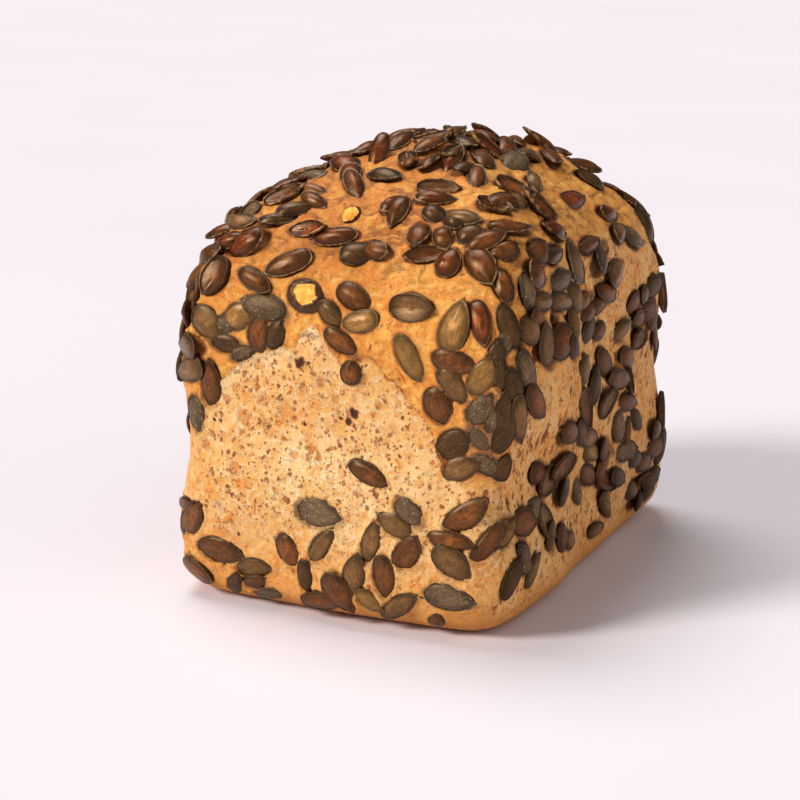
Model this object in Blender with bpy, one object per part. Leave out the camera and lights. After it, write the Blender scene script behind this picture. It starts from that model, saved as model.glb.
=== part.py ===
"""Carrot bread: a small tall loaf baked in a tin, domed on top and set all over with pumpkin seeds.

The loaf is one solid. It rests on its flat underside, with the origin at the middle of that face.
+X runs along the end face that is seen first, +Y runs back along the loaf, and +Z is up.
The seeds are fused to the crust: proud on the dome and the long sides, almost flush on the end face.
"""

import math
import random

import bmesh
import bpy
import numpy as np
from mathutils import Matrix, Vector

# Driving dimensions, in metres
MM = 0.001
WIDTH = 107.5 * MM
LENGTH = 136.5 * MM
WALL_HEIGHT = 75 * MM  # up to the level where the loaf left the tin's straight walls
DOME_HEIGHT = 50 * MM
CORNER_POWER = 9.0  # how square the plan is
DOME_POWER = 2.12
FOOT_POWER = 11.0  # how tight the lower edges turn
FOOT_OVERSHOOT = 1.02  # the form reaches below the base, which cuts it flat
WIDTH_FLARE = 0.025  # the loaf widens a little upwards
LENGTH_FLARE = -0.08  # and its end faces lean in

# Hollows of the crust: where each is (x, y, z), how deep and how wide, all in millimetres
DENTS = (
    ((-54, -62, 44), 1.3, 13),
    ((-42, -48, 110), 2.6, 18),
    ((54, 60, 78), 1.8, 20),
    ((-54, 5, 52), 1.6, 24),
    ((-10, 67, 60), 1.6, 26),
    ((-20, 0, 122), 2.0, 13),
)
WAVE_COUNT = 7
WAVE_DEPTH = 0.5 * MM
WAVE_LENGTHS = (24 * MM, 60 * MM)
BODY_CUTS = 13  # cuts across each face of the starting cube

# Seeds
PRESSED_THICKNESS = 2.5 * MM  # of a seed where the tin pressed it
PROUD_THICKNESS = 3.4 * MM  # and on the dome
SEED_TIP_STRETCH = 1.12
SEED_TIP_NARROWING = 0.42
FUSED_SEEDS = 285
LENGTH_RANGE = (11.5, 14.5)
WIDTH_RANGE = (5.8, 7.6)
SCATTER_SPACING = 9.6 * MM
SCATTER_TRIES = 9000
SEED_TILT = math.radians(9)
KEPT_TRIANGLES = 0.72  # share of the fused triangles that is kept, as most of the others are slivers
FLAT_WITHIN = 0.02 * MM  # what lies this near the base is on it
PRESSED = -0.1 * MM  # height of a pressed seed's middle over the crust
PROUD = 0.45 * MM
PROUD_FROM = 76 * MM
PROUD_AT = 96 * MM
PROUD_ON_WALLS = 0.8  # as a share of the dome's, on all walls but the first end face

# How the places of the listed seeds were read: on the even loaf, and on a round dome over the seeds on top
EYE = (235 * MM, -537 * MM, 197 * MM)
SEEN_DOME_HEIGHT = 52.2 * MM
SEEN_AT = 0.35  # a seed's outline is seen this share of its thickness over its middle
FARTHEST_SHIFT = 5 * MM  # between where a seed is seen and where it lies

# Seeds that show on the end face: x, z, turn of the pointed end in degrees, length and width, in mm
END_SEEDS = (
    (-40, 92, 240, 12, 9.5), (-33, 101, 203, 14, 8), (-18, 97, 203, 15, 7), (-27, 92, -22, 12, 6),
    (-22, 85, 168, 15, 8), (-10, 89, -20, 13, 9.5), (-30, 82, 30, 10, 8), (-40, 79, -35, 12, 9),
    (-34, 79, 0, 7, 6), (-23, 78, 85, 11, 8), (-18, 78, 70, 9, 6), (-33, 74, -5, 12, 6),
    (-28, 72, 20, 8, 5), (-48, 71, 185, 14, 8), (-46, 65, 200, 13, 8), (-38, 62, 95, 14, 7),
    (-49, 80, 30, 12, 8), (-49, 88, -50, 11, 9), (-45, 97, 20, 12, 7), (-39, 101, 20, 10, 6),
    (-38, 106, 10, 11, 6), (-43, 53, -80, 11, 7), (-49, 51, 80, 9, 8), (-44, 23, 60, 13, 8),
    (-48, 26, 20, 10, 4), (-51, 17, 90, 9, 5), (-34, 15, -4, 15, 8), (-23, 11, 8, 13, 7),
    (-44, 6, -20, 12, 8), (-30, 5, 60, 9, 5), (-23, 7, 12, 9, 5), (-20, 3, 10, 10, 5),
    (-12, 18, -62, 11, 7), (-2, 21, 58, 13, 6), (-7, 11, -85, 11, 5), (-3, 30, -6, 15, 9),
    (-3, 4, 8, 14, 7), (3, 8, -55, 13, 9), (12, 7, -30, 9, 6), (21, 7, 37, 14, 6),
    (8, 14, 80, 13, 7), (13, 24, 78, 13, 6), (17, 15, -85, 13, 7), (20, 30, 158, 12, 7),
    (24, 34, -40, 11, 7), (24, 23, 62, 11, 8), (37, 22, -40, 13, 9), (36, 28, -4, 13, 6),
    (40, 35, 42, 15, 7), (46.5, 28, 58, 15, 6), (50, 30, 70, 10, 5), (36, 12, -6, 14, 8),
    (32, 4, 60, 6, 5), (12, 43, -22, 14, 6), (36, 54, 42, 11, 9), (38, 48, 22, 11, 7),
    (45, 49.5, -40, 9, 6), (49, 48.5, 80, 8, 5.5), (43, 56, -50, 9, 5), (49, 58, 75, 12, 6),
    (4, 90, -25, 12, 7), (7, 84, 195, 11, 7), (-2, 85, -40, 10, 6), (2, 78, -28, 12, 6),
    (5, 70, 90, 7, 6), (21, 89, 0, 13, 8), (34, 85, 78, 15, 9), (41, 87, -68, 13, 6),
    (22, 76, -55, 14, 7), (35, 76, -8, 13, 7), (35, 70, -48, 12, 7), (31, 64, -70, 11, 9),
    (43, 73, 62, 12, 7), (47, 74, -80, 12, 5), (48, 82, 80, 7, 5), (43, 64, 60, 11, 7),
    (48, 63, 70, 13, 6), (45, 96, -65, 11, 6),
)
# Seeds on the dome: x, y, turn, length, width
DOME_SEEDS = (
    (-15, -55, 5, 12, 5), (-6, -56, 188, 14, 6), (2, -59, 5, 10, 7), (7, -58, -10, 10, 6),
    (-25, -53, 10, 12, 5), (-21, -50, 25, 12, 6), (-27, -46, 25, 12, 7), (-20, -43, -15, 12, 5),
    (-17, -47, -20, 10, 5), (-11, -36, -60, 12, 7), (-15, -31, -40, 13, 8), (-1, -35, -15, 12, 7),
    (6, -46, 70, 8, 5), (9, -48, -92, 11, 6), (17, -39, 10, 12, 6), (18, -43, 8, 12, 6),
    (20, -48, -20, 8, 6), (18, -54, -70, 10, 7), (25, -54, -50, 8, 6), (22, -58, 192, 12, 5),
    (29, -59, 75, 9, 7), (28, -48, -3, 12, 5), (32, -52, 30, 8, 6), (37, -52, 45, 12, 6),
    (38, -58, -30, 13.5, 8), (35, -32, 70, 12, 7), (34, -39, 20, 10, 6), (40, -41, 60, 13, 5),
    (36, -26, 80, 10, 6), (44, -20, 75, 11, 7), (40, 6, 85, 13, 6), (45, 26, 85, 13, 6),
    (33, -5, -60, 10, 5), (9, -26, 88, 12, 6), (15, -24, 85, 12, 6),
    (25, -30, -65, 13, 6), (21, -27, 70, 11, 6), (-33, -36, 60, 12, 7), (2, -26, 120, 11, 6),
    (-4, -50, 60, 6, 5), (-20, -17, -124, 12, 7), (-25, -36, 161, 14, 7), (-8, -40, -50, 14, 6),
    (-36, -50, -130, 8, 5), (25, -1, -80, 14, 9), (19, 6, -70, 13, 7), (16, 22, -60, 13, 6),
    (27, 24, -60, 13, 7), (32, 38, -134, 13, 7), (37, 31, -122, 12, 6), (20, -13, 127, 13, 7),
    (14, 1, -139, 12, 7), (10, 13, -154, 12, 7), (2, 12, 180, 12, 7), (1, -5, -148, 13, 7),
    (-7, -12, -96, 14, 7), (-13, -20, -117, 12, 7), (42, -51, -127, 9, 6), (26, -50, 163, 7, 4),
    (13, -18, 99, 13, 6), (24, 12, -80, 12, 8),
)
# Seeds on the long side at +X: y, z, turn, length, width
SIDE_SEEDS = (
    (-55, 84, -20, 9, 8), (-46, 78, 100, 13, 9), (-34, 77, 20, 14, 9), (-27, 73, -30, 12, 7),
    (-13, 76, 5, 14, 7), (-4, 74, -5, 11, 6), (-13, 81, 5, 13, 6), (3, 84, -10, 15, 7),
    (13, 88, 12, 15, 8), (5, 94, 25, 15, 7), (33, 95, -15, 14, 7), (24, 98, 8, 13, 6),
    (-27, 100, 0, 14, 6), (-43, 97, -20, 10, 8), (-15, 96, -65, 14, 9), (-30, 93, 5, 14, 7),
    (-51, 94, 60, 11, 7), (-45, 90, -10, 11, 6), (-33, 88, -10, 14, 6), (-23, 87, -50, 10, 8),
    (-16, 85, 5, 13, 5), (-50, 86, -25, 11, 6), (-57, 73, -70, 13, 7), (-62, 69, -75, 13, 6),
    (-52, 64, -50, 13, 7), (-60, 61, -80, 14, 6), (-48, 43, -20, 11, 7), (-40, 39, 10, 12, 9),
    (-28, 49, -5, 14, 7), (-29, 40, 0, 15, 8), (-17, 46, -40, 13, 7), (-9, 43, -12, 12, 6),
    (-16, 65, 30, 10, 9), (-15, 53, -70, 13, 8), (-5, 58, 60, 12, 9), (2, 63, -45, 13, 8),
    (4, 50, 20, 12, 8), (13, 55, -12, 15, 7), (24, 60, -15, 15, 7), (17, 70, 8, 14, 6),
    (28, 76, -10, 14, 8), (38, 77, -10, 14, 6), (33, 70, -15, 15, 7), (43, 71, -15, 13, 7),
    (34, 64, -10, 15, 7), (20, 46, -15, 15, 6), (36, 38, -30, 13, 6), (14, 40, -70, 11, 8),
    (6, 36, -25, 15, 7), (-5, 38, -20, 13, 6), (-8, 32, -25, 15, 7), (-27, 32, -15, 13, 9),
    (-16, 29, -42, 14, 6), (-56, 31, -10, 11, 9), (-49, 33, 20, 10, 7), (-41, 27, -50, 14, 7),
    (-36, 21, -60, 12, 7), (-26, 18, -50, 11, 8), (-19, 15, -30, 9, 6), (-55, 22, -45, 9, 6),
    (-48, 15, 40, 11, 7), (-61, 16, 65, 12, 6), (-54, 18, -20, 9, 5), (10, 25, -25, 15, 6),
    (19, 23, -25, 13, 6), (12, 17, -45, 13, 6), (24, 30, -5, 15, 7), (36, 25, -12, 14, 6),
    (57, 28, -15, 15, 7), (58, 22, -10, 14, 7), (48, 21, -10, 14, 7), (38, 15, -15, 14, 7),
    (50, 14, -10, 14, 7), (58, 12, 10, 13, 7), (5, 11, -5, 12, 5), (51, 62, -60, 12, 8),
    (63, 72, -80, 13, 7), (62, 56, -75, 13, 7), (-36, 102, 20, 9, 8), (-25, 80, 80, 11, 6),
    (24, 53, 60, 10, 7), (-4, 82, 15, 11, 6), (47, 78, 0, 12, 8), (46, 70, 80, 12, 8),
    (52, 97, 90, 14, 8), (-1, 98.5, 3, 13, 5), (-62, 86, 85, 12, 6),
    (6, 31, 30, 11, 7), (24, 36, 80, 9, 4), (47, 9, 10, 13, 6), (56, 7, 10, 12, 6),
    (64, 30, 85, 13, 8), (64, 19, 85, 13, 8), (-65, 63, 85, 13, 6), (-66, 77, 80, 12, 6),
)
# The few that show on the long side at -X: y, z, turn, length, width
LEFT_SEEDS = (
    (-60, 92, 85, 13, 7), (-62, 86, 80, 11, 7), (-52, 103, 70, 12, 8), (-60, 65, 80, 11, 6),
    (-59, 76, 95, 12, 7),
)


def remove_scene_objects():
    for obj in list(bpy.data.objects):
        bpy.data.objects.remove(obj, do_unlink=True)


def new_collection(name):
    collection = bpy.data.collections.new(name)
    bpy.context.scene.collection.children.link(collection)
    return collection


def principled(name, colour, roughness, metallic):
    """A plain Principled material with its colour in linear values."""
    material = bpy.data.materials.new(name)
    material.use_nodes = True
    shader = material.node_tree.nodes["Principled BSDF"]
    shader.inputs["Base Color"].default_value = (*colour, 1.0)
    shader.inputs["Roughness"].default_value = roughness
    shader.inputs["Metallic"].default_value = metallic
    return material


def crust_waves():
    """Slow uneven waves of the crust: for each one its direction with its pitch, and its phase."""
    rng = random.Random(11)
    waves = []
    for _ in range(WAVE_COUNT):
        direction = Vector([rng.gauss(0, 1) for _ in range(3)]).normalized()
        pitch = rng.uniform(*WAVE_LENGTHS)
        waves.append((np.array(direction) * math.tau / pitch, rng.uniform(0, math.tau)))
    return waves


WAVES = crust_waves()


def smooth_form(places):
    """Points of the even loaf and the outward directions there, for places on a unit cube or beyond."""
    x, y, z = np.abs(places).T
    power = np.where(places[:, 2] > 0, DOME_POWER, FOOT_POWER)
    plan = x**CORNER_POWER + y**CORNER_POWER
    reach = (plan ** (power / CORNER_POWER) + z**power) ** (1 / power)
    unit = places / reach[:, None]
    depth = np.where(places[:, 2] > 0, DOME_HEIGHT, WALL_HEIGHT * FOOT_OVERSHOOT)
    height = np.maximum(WALL_HEIGHT + unit[:, 2] * depth, 0)
    rise = height / WALL_HEIGHT - 1
    half_width = WIDTH / 2 * (1 + WIDTH_FLARE * rise)
    half_length = LENGTH / 2 * (1 + LENGTH_FLARE * rise)
    points = np.stack([unit[:, 0] * half_width, unit[:, 1] * half_length, height], axis=1)
    plan = (np.abs(unit[:, :2]) ** CORNER_POWER).sum(axis=1) + 1e-9
    outward = np.sign(unit) * np.abs(unit) ** (CORNER_POWER - 1)
    outward *= (plan ** (power / CORNER_POWER - 1))[:, None]
    outward[:, 2] = np.sign(unit[:, 2]) * np.abs(unit[:, 2]) ** (power - 1)
    outward /= np.stack([half_width, half_length, depth], axis=1)
    outward /= np.linalg.norm(outward, axis=1)[:, None]
    return points, outward


def crust(places):
    """Points of the uneven crust and the outward directions there."""
    points, outward = smooth_form(places)
    push = np.zeros(len(points))
    for direction, phase in WAVES:
        push += WAVE_DEPTH * np.sin(points @ direction + phase)
    for middle, depth, spread in DENTS:
        away = np.linalg.norm(points - np.array(middle) * MM, axis=1) / (spread * MM)
        push -= depth * MM * np.exp(-(away**2) / 2)
    push *= np.clip(points[:, 2] / (8 * MM), 0, 1)  # the underside stays flat
    moved = points + outward * push[:, None]
    moved[:, 2] = np.maximum(moved[:, 2], 0)
    return moved, outward


def make_body(collection):
    mesh = bpy.data.meshes.new("loaf")
    form = bmesh.new()
    bmesh.ops.create_cube(form, size=2)
    bmesh.ops.subdivide_edges(form, edges=form.edges[:], cuts=BODY_CUTS, use_grid_fill=True)
    places = np.array([vertex.co for vertex in form.verts])
    bend = 0.62 * math.pi / 2  # the grid is finer near the loaf's edges
    places = np.sin(places * bend) / math.sin(bend)
    for vertex, point in zip(form.verts, crust(places)[0]):
        vertex.co = point
    bmesh.ops.triangulate(form, faces=form.faces[:])
    form.to_mesh(mesh)
    form.free()
    body = bpy.data.objects.new("loaf", mesh)
    collection.objects.link(body)
    return body


def place_on_wall(across, height, wall):
    """The place of a crust point from its two distances on the end face or on the long side at +X or -X."""
    rise = height / WALL_HEIGHT - 1
    half_width = WIDTH / 2 * (1 + WIDTH_FLARE * rise)
    half_length = LENGTH / 2 * (1 + LENGTH_FLARE * rise)
    power = DOME_POWER if rise > 0 else FOOT_POWER
    depth = DOME_HEIGHT if rise > 0 else WALL_HEIGHT * FOOT_OVERSHOOT
    upward = (height - WALL_HEIGHT) / depth
    sideways = across / (half_width if wall == "end" else half_length)
    left = (1 - abs(upward) ** power) ** (CORNER_POWER / power) - abs(sideways) ** CORNER_POWER
    outward = max(left, 0.001) ** (1 / CORNER_POWER)
    return {
        "end": (sideways, -outward, upward),
        "side": (outward, sideways, upward),
        "left": (-outward, sideways, upward),
    }[wall]


def point_on_dome(x, y):
    """The point at x, y of the round dome that the seeds on top seem to lie on."""
    plan = abs(2 * x / WIDTH) ** CORNER_POWER + abs(2 * y / LENGTH) ** CORNER_POWER
    upward = math.sqrt(max(1 - plan ** (2 / CORNER_POWER), 0.01))
    return np.array((x, y, WALL_HEIGHT + SEEN_DOME_HEIGHT * upward))


def seen_point(across, along, wall):
    """A point from its two distances on a wall of the even loaf, or on the dome seen from above."""
    if wall == "dome":
        return point_on_dome(across, along)
    return smooth_form(np.array([place_on_wall(across, along, wall)]))[0][0]


def proudness(point, outward):
    """How proud a seed stands: 0 where the tin pressed it into the first end face, 1 on the dome."""
    share = min(max((point[2] - PROUD_FROM) / (PROUD_AT - PROUD_FROM), 0), 1)
    return share if outward[1] < -0.7 else max(share, PROUD_ON_WALLS)


def seed_stand(share):
    """Height of a seed's middle over the crust and its thickness, for how proud it stands."""
    height = PRESSED + (PROUD - PRESSED) * share
    return height, PRESSED_THICKNESS + (PROUD_THICKNESS - PRESSED_THICKNESS) * share


def place_of(point):
    """The place of a point that is on the even loaf or near it."""
    rise = point[2] / WALL_HEIGHT - 1
    depth = DOME_HEIGHT if rise > 0 else WALL_HEIGHT * FOOT_OVERSHOOT
    return (
        point[0] / (WIDTH / 2 * (1 + WIDTH_FLARE * rise)),
        point[1] / (LENGTH / 2 * (1 + LENGTH_FLARE * rise)),
        rise * WALL_HEIGHT / depth,
    )


def place_under(seen):
    """The place on the uneven crust of a seed that hides the seen point from the eye."""
    sight = np.array(EYE) - seen
    sight /= np.linalg.norm(sight)
    moved = seen
    for _ in range(5):
        points, outwards = crust(np.array([place_of(moved)]))
        height, thickness = seed_stand(proudness(points[0], outwards[0]))
        off = points[0] + outwards[0] * (height + SEEN_AT * thickness) - seen
        off -= off.dot(sight) * sight
        slope = max(outwards[0].dot(sight), 0.2)
        shift = moved - off + sight * off.dot(outwards[0]) / slope - seen
        moved = seen + np.clip(shift, -FARTHEST_SHIFT, FARTHEST_SHIFT)
    return place_of(moved)


def listed_seeds():
    """The seeds whose places are read off the loaf, as (place, direction of the tip, length, width)."""
    rows = [("end", row) for row in END_SEEDS] + [("side", row) for row in SIDE_SEEDS]
    rows += [("left", row) for row in LEFT_SEEDS] + [("dome", row) for row in DOME_SEEDS]
    seeds = []
    for wall, (across, along, turn, length, width) in rows:
        turn = math.radians(turn)
        here = seen_point(across * MM, along * MM, wall)
        there = seen_point((across + math.cos(turn)) * MM, (along + math.sin(turn)) * MM, wall)
        place = place_of(here) if wall == "left" else place_under(here)
        seeds.append((place, tuple(there - here), length, width))
    return seeds


def seediness(point):
    """How likely a scattered seed is at a point of the crust, from 0 to 1."""
    x, y, z = point / MM
    if z < 9 or y < -52 or (x > 45 and z < 100):
        return 0.0
    if z > 96:
        bare = (x > 24 and -24 < y < 46) or (x > -28 and y < -30)
        return 0.0 if bare else 1.0
    patches = math.sin(x / 17 + y / 13 + 1.0) + math.sin(y / 21 - z / 15) + math.sin(z / 11 + x / 19)
    low_or_high = 0.5 if z < 30 or z > 76 else 0.0
    return 1.0 if patches + low_or_high > 0.15 else 0.04


def scattered_seeds(taken):
    """Seeds spread evenly over the parts of the crust that carry them, clear of the listed ones."""
    rng = random.Random(23)
    middles = [crust(np.array([place]))[0][0] for place, _, _, _ in taken]
    seeds = []
    for _ in range(SCATTER_TRIES):
        place = [rng.uniform(-1, 1) for _ in range(3)]
        place[rng.randrange(3)] = rng.choice((-1, 1))
        tip = [rng.gauss(0, 1) for _ in range(3)]
        length = rng.uniform(*LENGTH_RANGE)
        width = rng.uniform(*WIDTH_RANGE)
        chance = rng.random()
        point = crust(np.array([place]))[0][0]
        nearest = np.linalg.norm(np.array(middles) - point, axis=1).min()
        if nearest > SCATTER_SPACING and chance < seediness(point):
            middles.append(point)
            seeds.append((tuple(place), tuple(tip), length, width))
    return seeds


def seed_mesh():
    """A flat teardrop of unit length, width and thickness, with its pointed end at +X."""
    mesh = bpy.data.meshes.new("seed")
    form = bmesh.new()
    bmesh.ops.create_icosphere(form, subdivisions=1, radius=0.5)
    for vertex in form.verts:
        toward_tip = max(vertex.co.x * 2, 0)
        vertex.co.y *= 1 - SEED_TIP_NARROWING * toward_tip
        vertex.co.x *= 1 + (SEED_TIP_STRETCH - 1) * toward_tip
    form.to_mesh(mesh)
    form.free()
    return mesh


def seed_matrix(place, tip, length, width, rng):
    """The matrix that lays a seed of unit size on the crust, with its tip turned the given way."""
    points, outwards = crust(np.array([place]))
    outward = Vector(outwards[0])
    along = Vector(tip)
    along = (along - along.dot(outward) * outward).normalized()
    share = proudness(points[0], outward)
    height, thickness = seed_stand(share)
    middle = Vector(points[0]) + outward * height
    turn = Matrix((along, outward.cross(along), outward)).transposed().to_4x4()
    tilt = Matrix.Rotation(rng.gauss(0, 1) * SEED_TILT * share, 4, "Y")
    roll = Matrix.Rotation(rng.gauss(0, 1) * SEED_TILT * share, 4, "X")
    size = Matrix.Diagonal((length * MM, width * MM, thickness, 1))
    return Matrix.Translation(middle) @ turn @ tilt @ roll @ size


def make_seeds(collection):
    listed = listed_seeds()
    seeds = listed + scattered_seeds(listed)
    seeds.sort(key=lambda seed: -seed[2] * seed[3])  # the largest come first
    shape = seed_mesh()
    rng = random.Random(5)
    for number, (place, tip, length, width) in enumerate(seeds[:FUSED_SEEDS]):
        seed = bpy.data.objects.new(f"seed_{number:03d}", shape)
        seed.matrix_world = seed_matrix(place, tip, length, width, rng)
        collection.objects.link(seed)


def fuse(body, collection):
    """Joins the collection's objects to the body by one union, merges slivers, and removes them."""
    union = body.modifiers.new("seeds", "BOOLEAN")
    union.operation = "UNION"
    union.operand_type = "COLLECTION"
    union.collection = collection
    union.solver = "MANIFOLD"
    thinned = body.modifiers.new("slivers_merged", "DECIMATE")
    thinned.ratio = KEPT_TRIANGLES
    graph = bpy.context.evaluated_depsgraph_get()
    graph.update()
    fused = bpy.data.meshes.new_from_object(body.evaluated_get(graph))
    body.modifiers.clear()
    body.data = fused
    for obj in list(collection.objects):
        bpy.data.objects.remove(obj, do_unlink=True)
    bpy.data.collections.remove(collection)


def keep_outer_shell(mesh):
    """Keeps the largest closed surface, so hollows are filled and scraps dropped, and levels its base."""
    form = bmesh.new()
    form.from_mesh(mesh)
    unseen = set(form.verts)
    shells = []
    while unseen:
        shell = set()
        edge_of_search = [unseen.pop()]
        while edge_of_search:
            vertex = edge_of_search.pop()
            shell.add(vertex)
            near = {edge.other_vert(vertex) for edge in vertex.link_edges} & unseen
            unseen -= near
            edge_of_search.extend(near)
        shells.append(shell)
    shells.sort(key=len)
    loose = [vertex for shell in shells[:-1] for vertex in shell]
    bmesh.ops.delete(form, geom=loose, context="VERTS")
    for vertex in form.verts:
        if vertex.co.z < FLAT_WITHIN:
            vertex.co.z = 0
    form.to_mesh(mesh)
    form.free()


def main():
    remove_scene_objects()
    parts = new_collection("carrot_bread")
    seeds = new_collection("seeds")
    body = make_body(parts)
    make_seeds(seeds)
    fuse(body, seeds)
    keep_outer_shell(body.data)
    body.data.materials.clear()
    body.data.materials.append(principled("baked_crust", (0.56, 0.27, 0.08), 0.78, 0.0))
    body.data.shade_smooth()
    body.data.set_sharp_from_angle(angle=math.radians(40))


main()
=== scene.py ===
"""Looks of the carrot bread: its porous tin walls and torn golden skin, its seeds and its carrot shreds.

Shapes are worked out in millimetres, in the part's own frame, and turned into metres as meshes are made.
The loaf's form, the listed seeds and the rule for the scattered ones are those of the part's solid.
"""

import itertools
import math
import random

import bmesh
import bpy
import numpy as np
from mathutils import Matrix, Vector


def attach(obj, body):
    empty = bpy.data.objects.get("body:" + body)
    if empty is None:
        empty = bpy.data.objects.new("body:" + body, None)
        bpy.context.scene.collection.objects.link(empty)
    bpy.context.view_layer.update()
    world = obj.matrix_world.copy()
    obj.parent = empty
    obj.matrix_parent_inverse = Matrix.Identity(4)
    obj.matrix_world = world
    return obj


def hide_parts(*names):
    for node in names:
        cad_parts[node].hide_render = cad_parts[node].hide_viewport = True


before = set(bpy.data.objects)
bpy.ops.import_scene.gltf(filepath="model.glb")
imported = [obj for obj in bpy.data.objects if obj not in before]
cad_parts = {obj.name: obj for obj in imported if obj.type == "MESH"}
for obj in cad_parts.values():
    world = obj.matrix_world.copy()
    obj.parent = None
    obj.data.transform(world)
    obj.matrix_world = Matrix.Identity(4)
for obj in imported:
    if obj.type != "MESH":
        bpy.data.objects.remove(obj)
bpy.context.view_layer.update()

MM = 0.001

# The loaf's form, in millimetres
WIDTH = 107.5
LENGTH = 136.5
WALL_HEIGHT = 75
DOME_HEIGHT = 50
CORNER_POWER = 9.0
DOME_POWER = 2.12
FOOT_POWER = 11.0
FOOT_DEPTH = WALL_HEIGHT * 1.02  # the foot's form ends a little under the base and is cut off there
WIDTH_FLARE = 0.025
LENGTH_FLARE = -0.08
DENTS = (
    ((-54, -62, 44), 1.3, 13),
    ((-42, -48, 110), 2.6, 18),
    ((54, 60, 78), 1.8, 20),
    ((-54, 5, 52), 1.6, 24),
    ((-10, 67, 60), 1.6, 26),
    ((-20, 0, 122), 2.0, 13),
)
EVEN_FOOT = 8  # the crust gets even towards its foot, below this height
WAVE_COUNT = 7
WAVE_DEPTH = 0.5
WAVE_LENGTHS = (24, 60)

# The walls: the axis that their distances run along, and on which side of the other axis they stand
WALLS = {"end": (0, -1), "side": (1, 1), "back": (0, 1), "left": (1, -1)}
FACES_THE_END = -0.7  # an outward direction with a smaller Y belongs to the first end face

# The crust's mesh: faces along each side of the starting cube, and how often each is split again
GRID = 26
GRID_SPLITS = 4
END_SPLITS = 2
GRID_BEND = 0.4 * math.pi / 2  # draws the faces together towards the cube's edges

# Bands of the crust, from where each look is not there to where it is full: heights, and places along X
FOOT_BAND = (12, 3)
DOME_BAND = (82, 104)
GOLDEN_BAND = (10, 32)

# Seeds that a rule spreads: their sizes, the least distance between two, and how many are tried
LENGTH_RANGE = (11.5, 14.5)
WIDTH_RANGE = (5.8, 7.6)
SCATTER_SPACING = 9.6
SCATTER_TRIES = 9000
FILLER_SPACING = 7.4
FILLER_TRIES = 9000
LOWEST_SEED = 9
LONE_SEEDS = 0.04  # chance of a seed outside the patches

# How the seeds lie: pressed flat into the tin's walls, and proud, tilted and thicker on the dome
PRESSED = -0.1  # height of the middle over the crust
PROUD = 0.45
PRESSED_THICKNESS = 2.5
PROUD_THICKNESS = 3.4
PROUD_FROM = 76  # heights between which the seeds get proud
PROUD_AT = 96
PROUD_ON_WALLS = 0.8  # the least share on all walls but the first end face
SEED_TILT = math.radians(9)
SINKING = 0.25
END_GLOSS = 0.75
WALL_GLOSS = 0.4
OVER_FLOOR = 0.02
PRINTING_LAYER = 0.6  # seeds that lie higher than this leave no print in the crust

# How listed places become places on the crust: each is seen from the photograph's eye point
EYE = (235, -537, 197)
SEEN_DOME_HEIGHT = 52.2
SEEN_AT = 0.35  # the part of a seed that is seen at its place, in thicknesses over its middle
SIGHT_STEPS = 5
FLATTEST_SIGHT = 0.2
FARTHEST_SHIFT = 5

# The seeds' own form: rings of the upper and the under side as shares of the outline, and faces round them
SEED_RINGS = (0.28, 0.5, 0.66, 0.77, 0.84, 0.89, 0.93, 0.965, 1.0)
SEED_UNDER_RINGS = (0.92, 0.55)
SEED_SIDES = 36
SPLIT_RINGS = 20
SPLIT_SIDES = 72
SEED_NIB = 0.13  # how far the tip stands out, in half lengths
SEED_BELLY = 0.75  # depth of the under side, in half thicknesses
CUPPED_SEEDS = 0.14  # share of the proud seeds that have curled up
SHRED_STEPS = 14
SHRED_SIDES = 8

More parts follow.
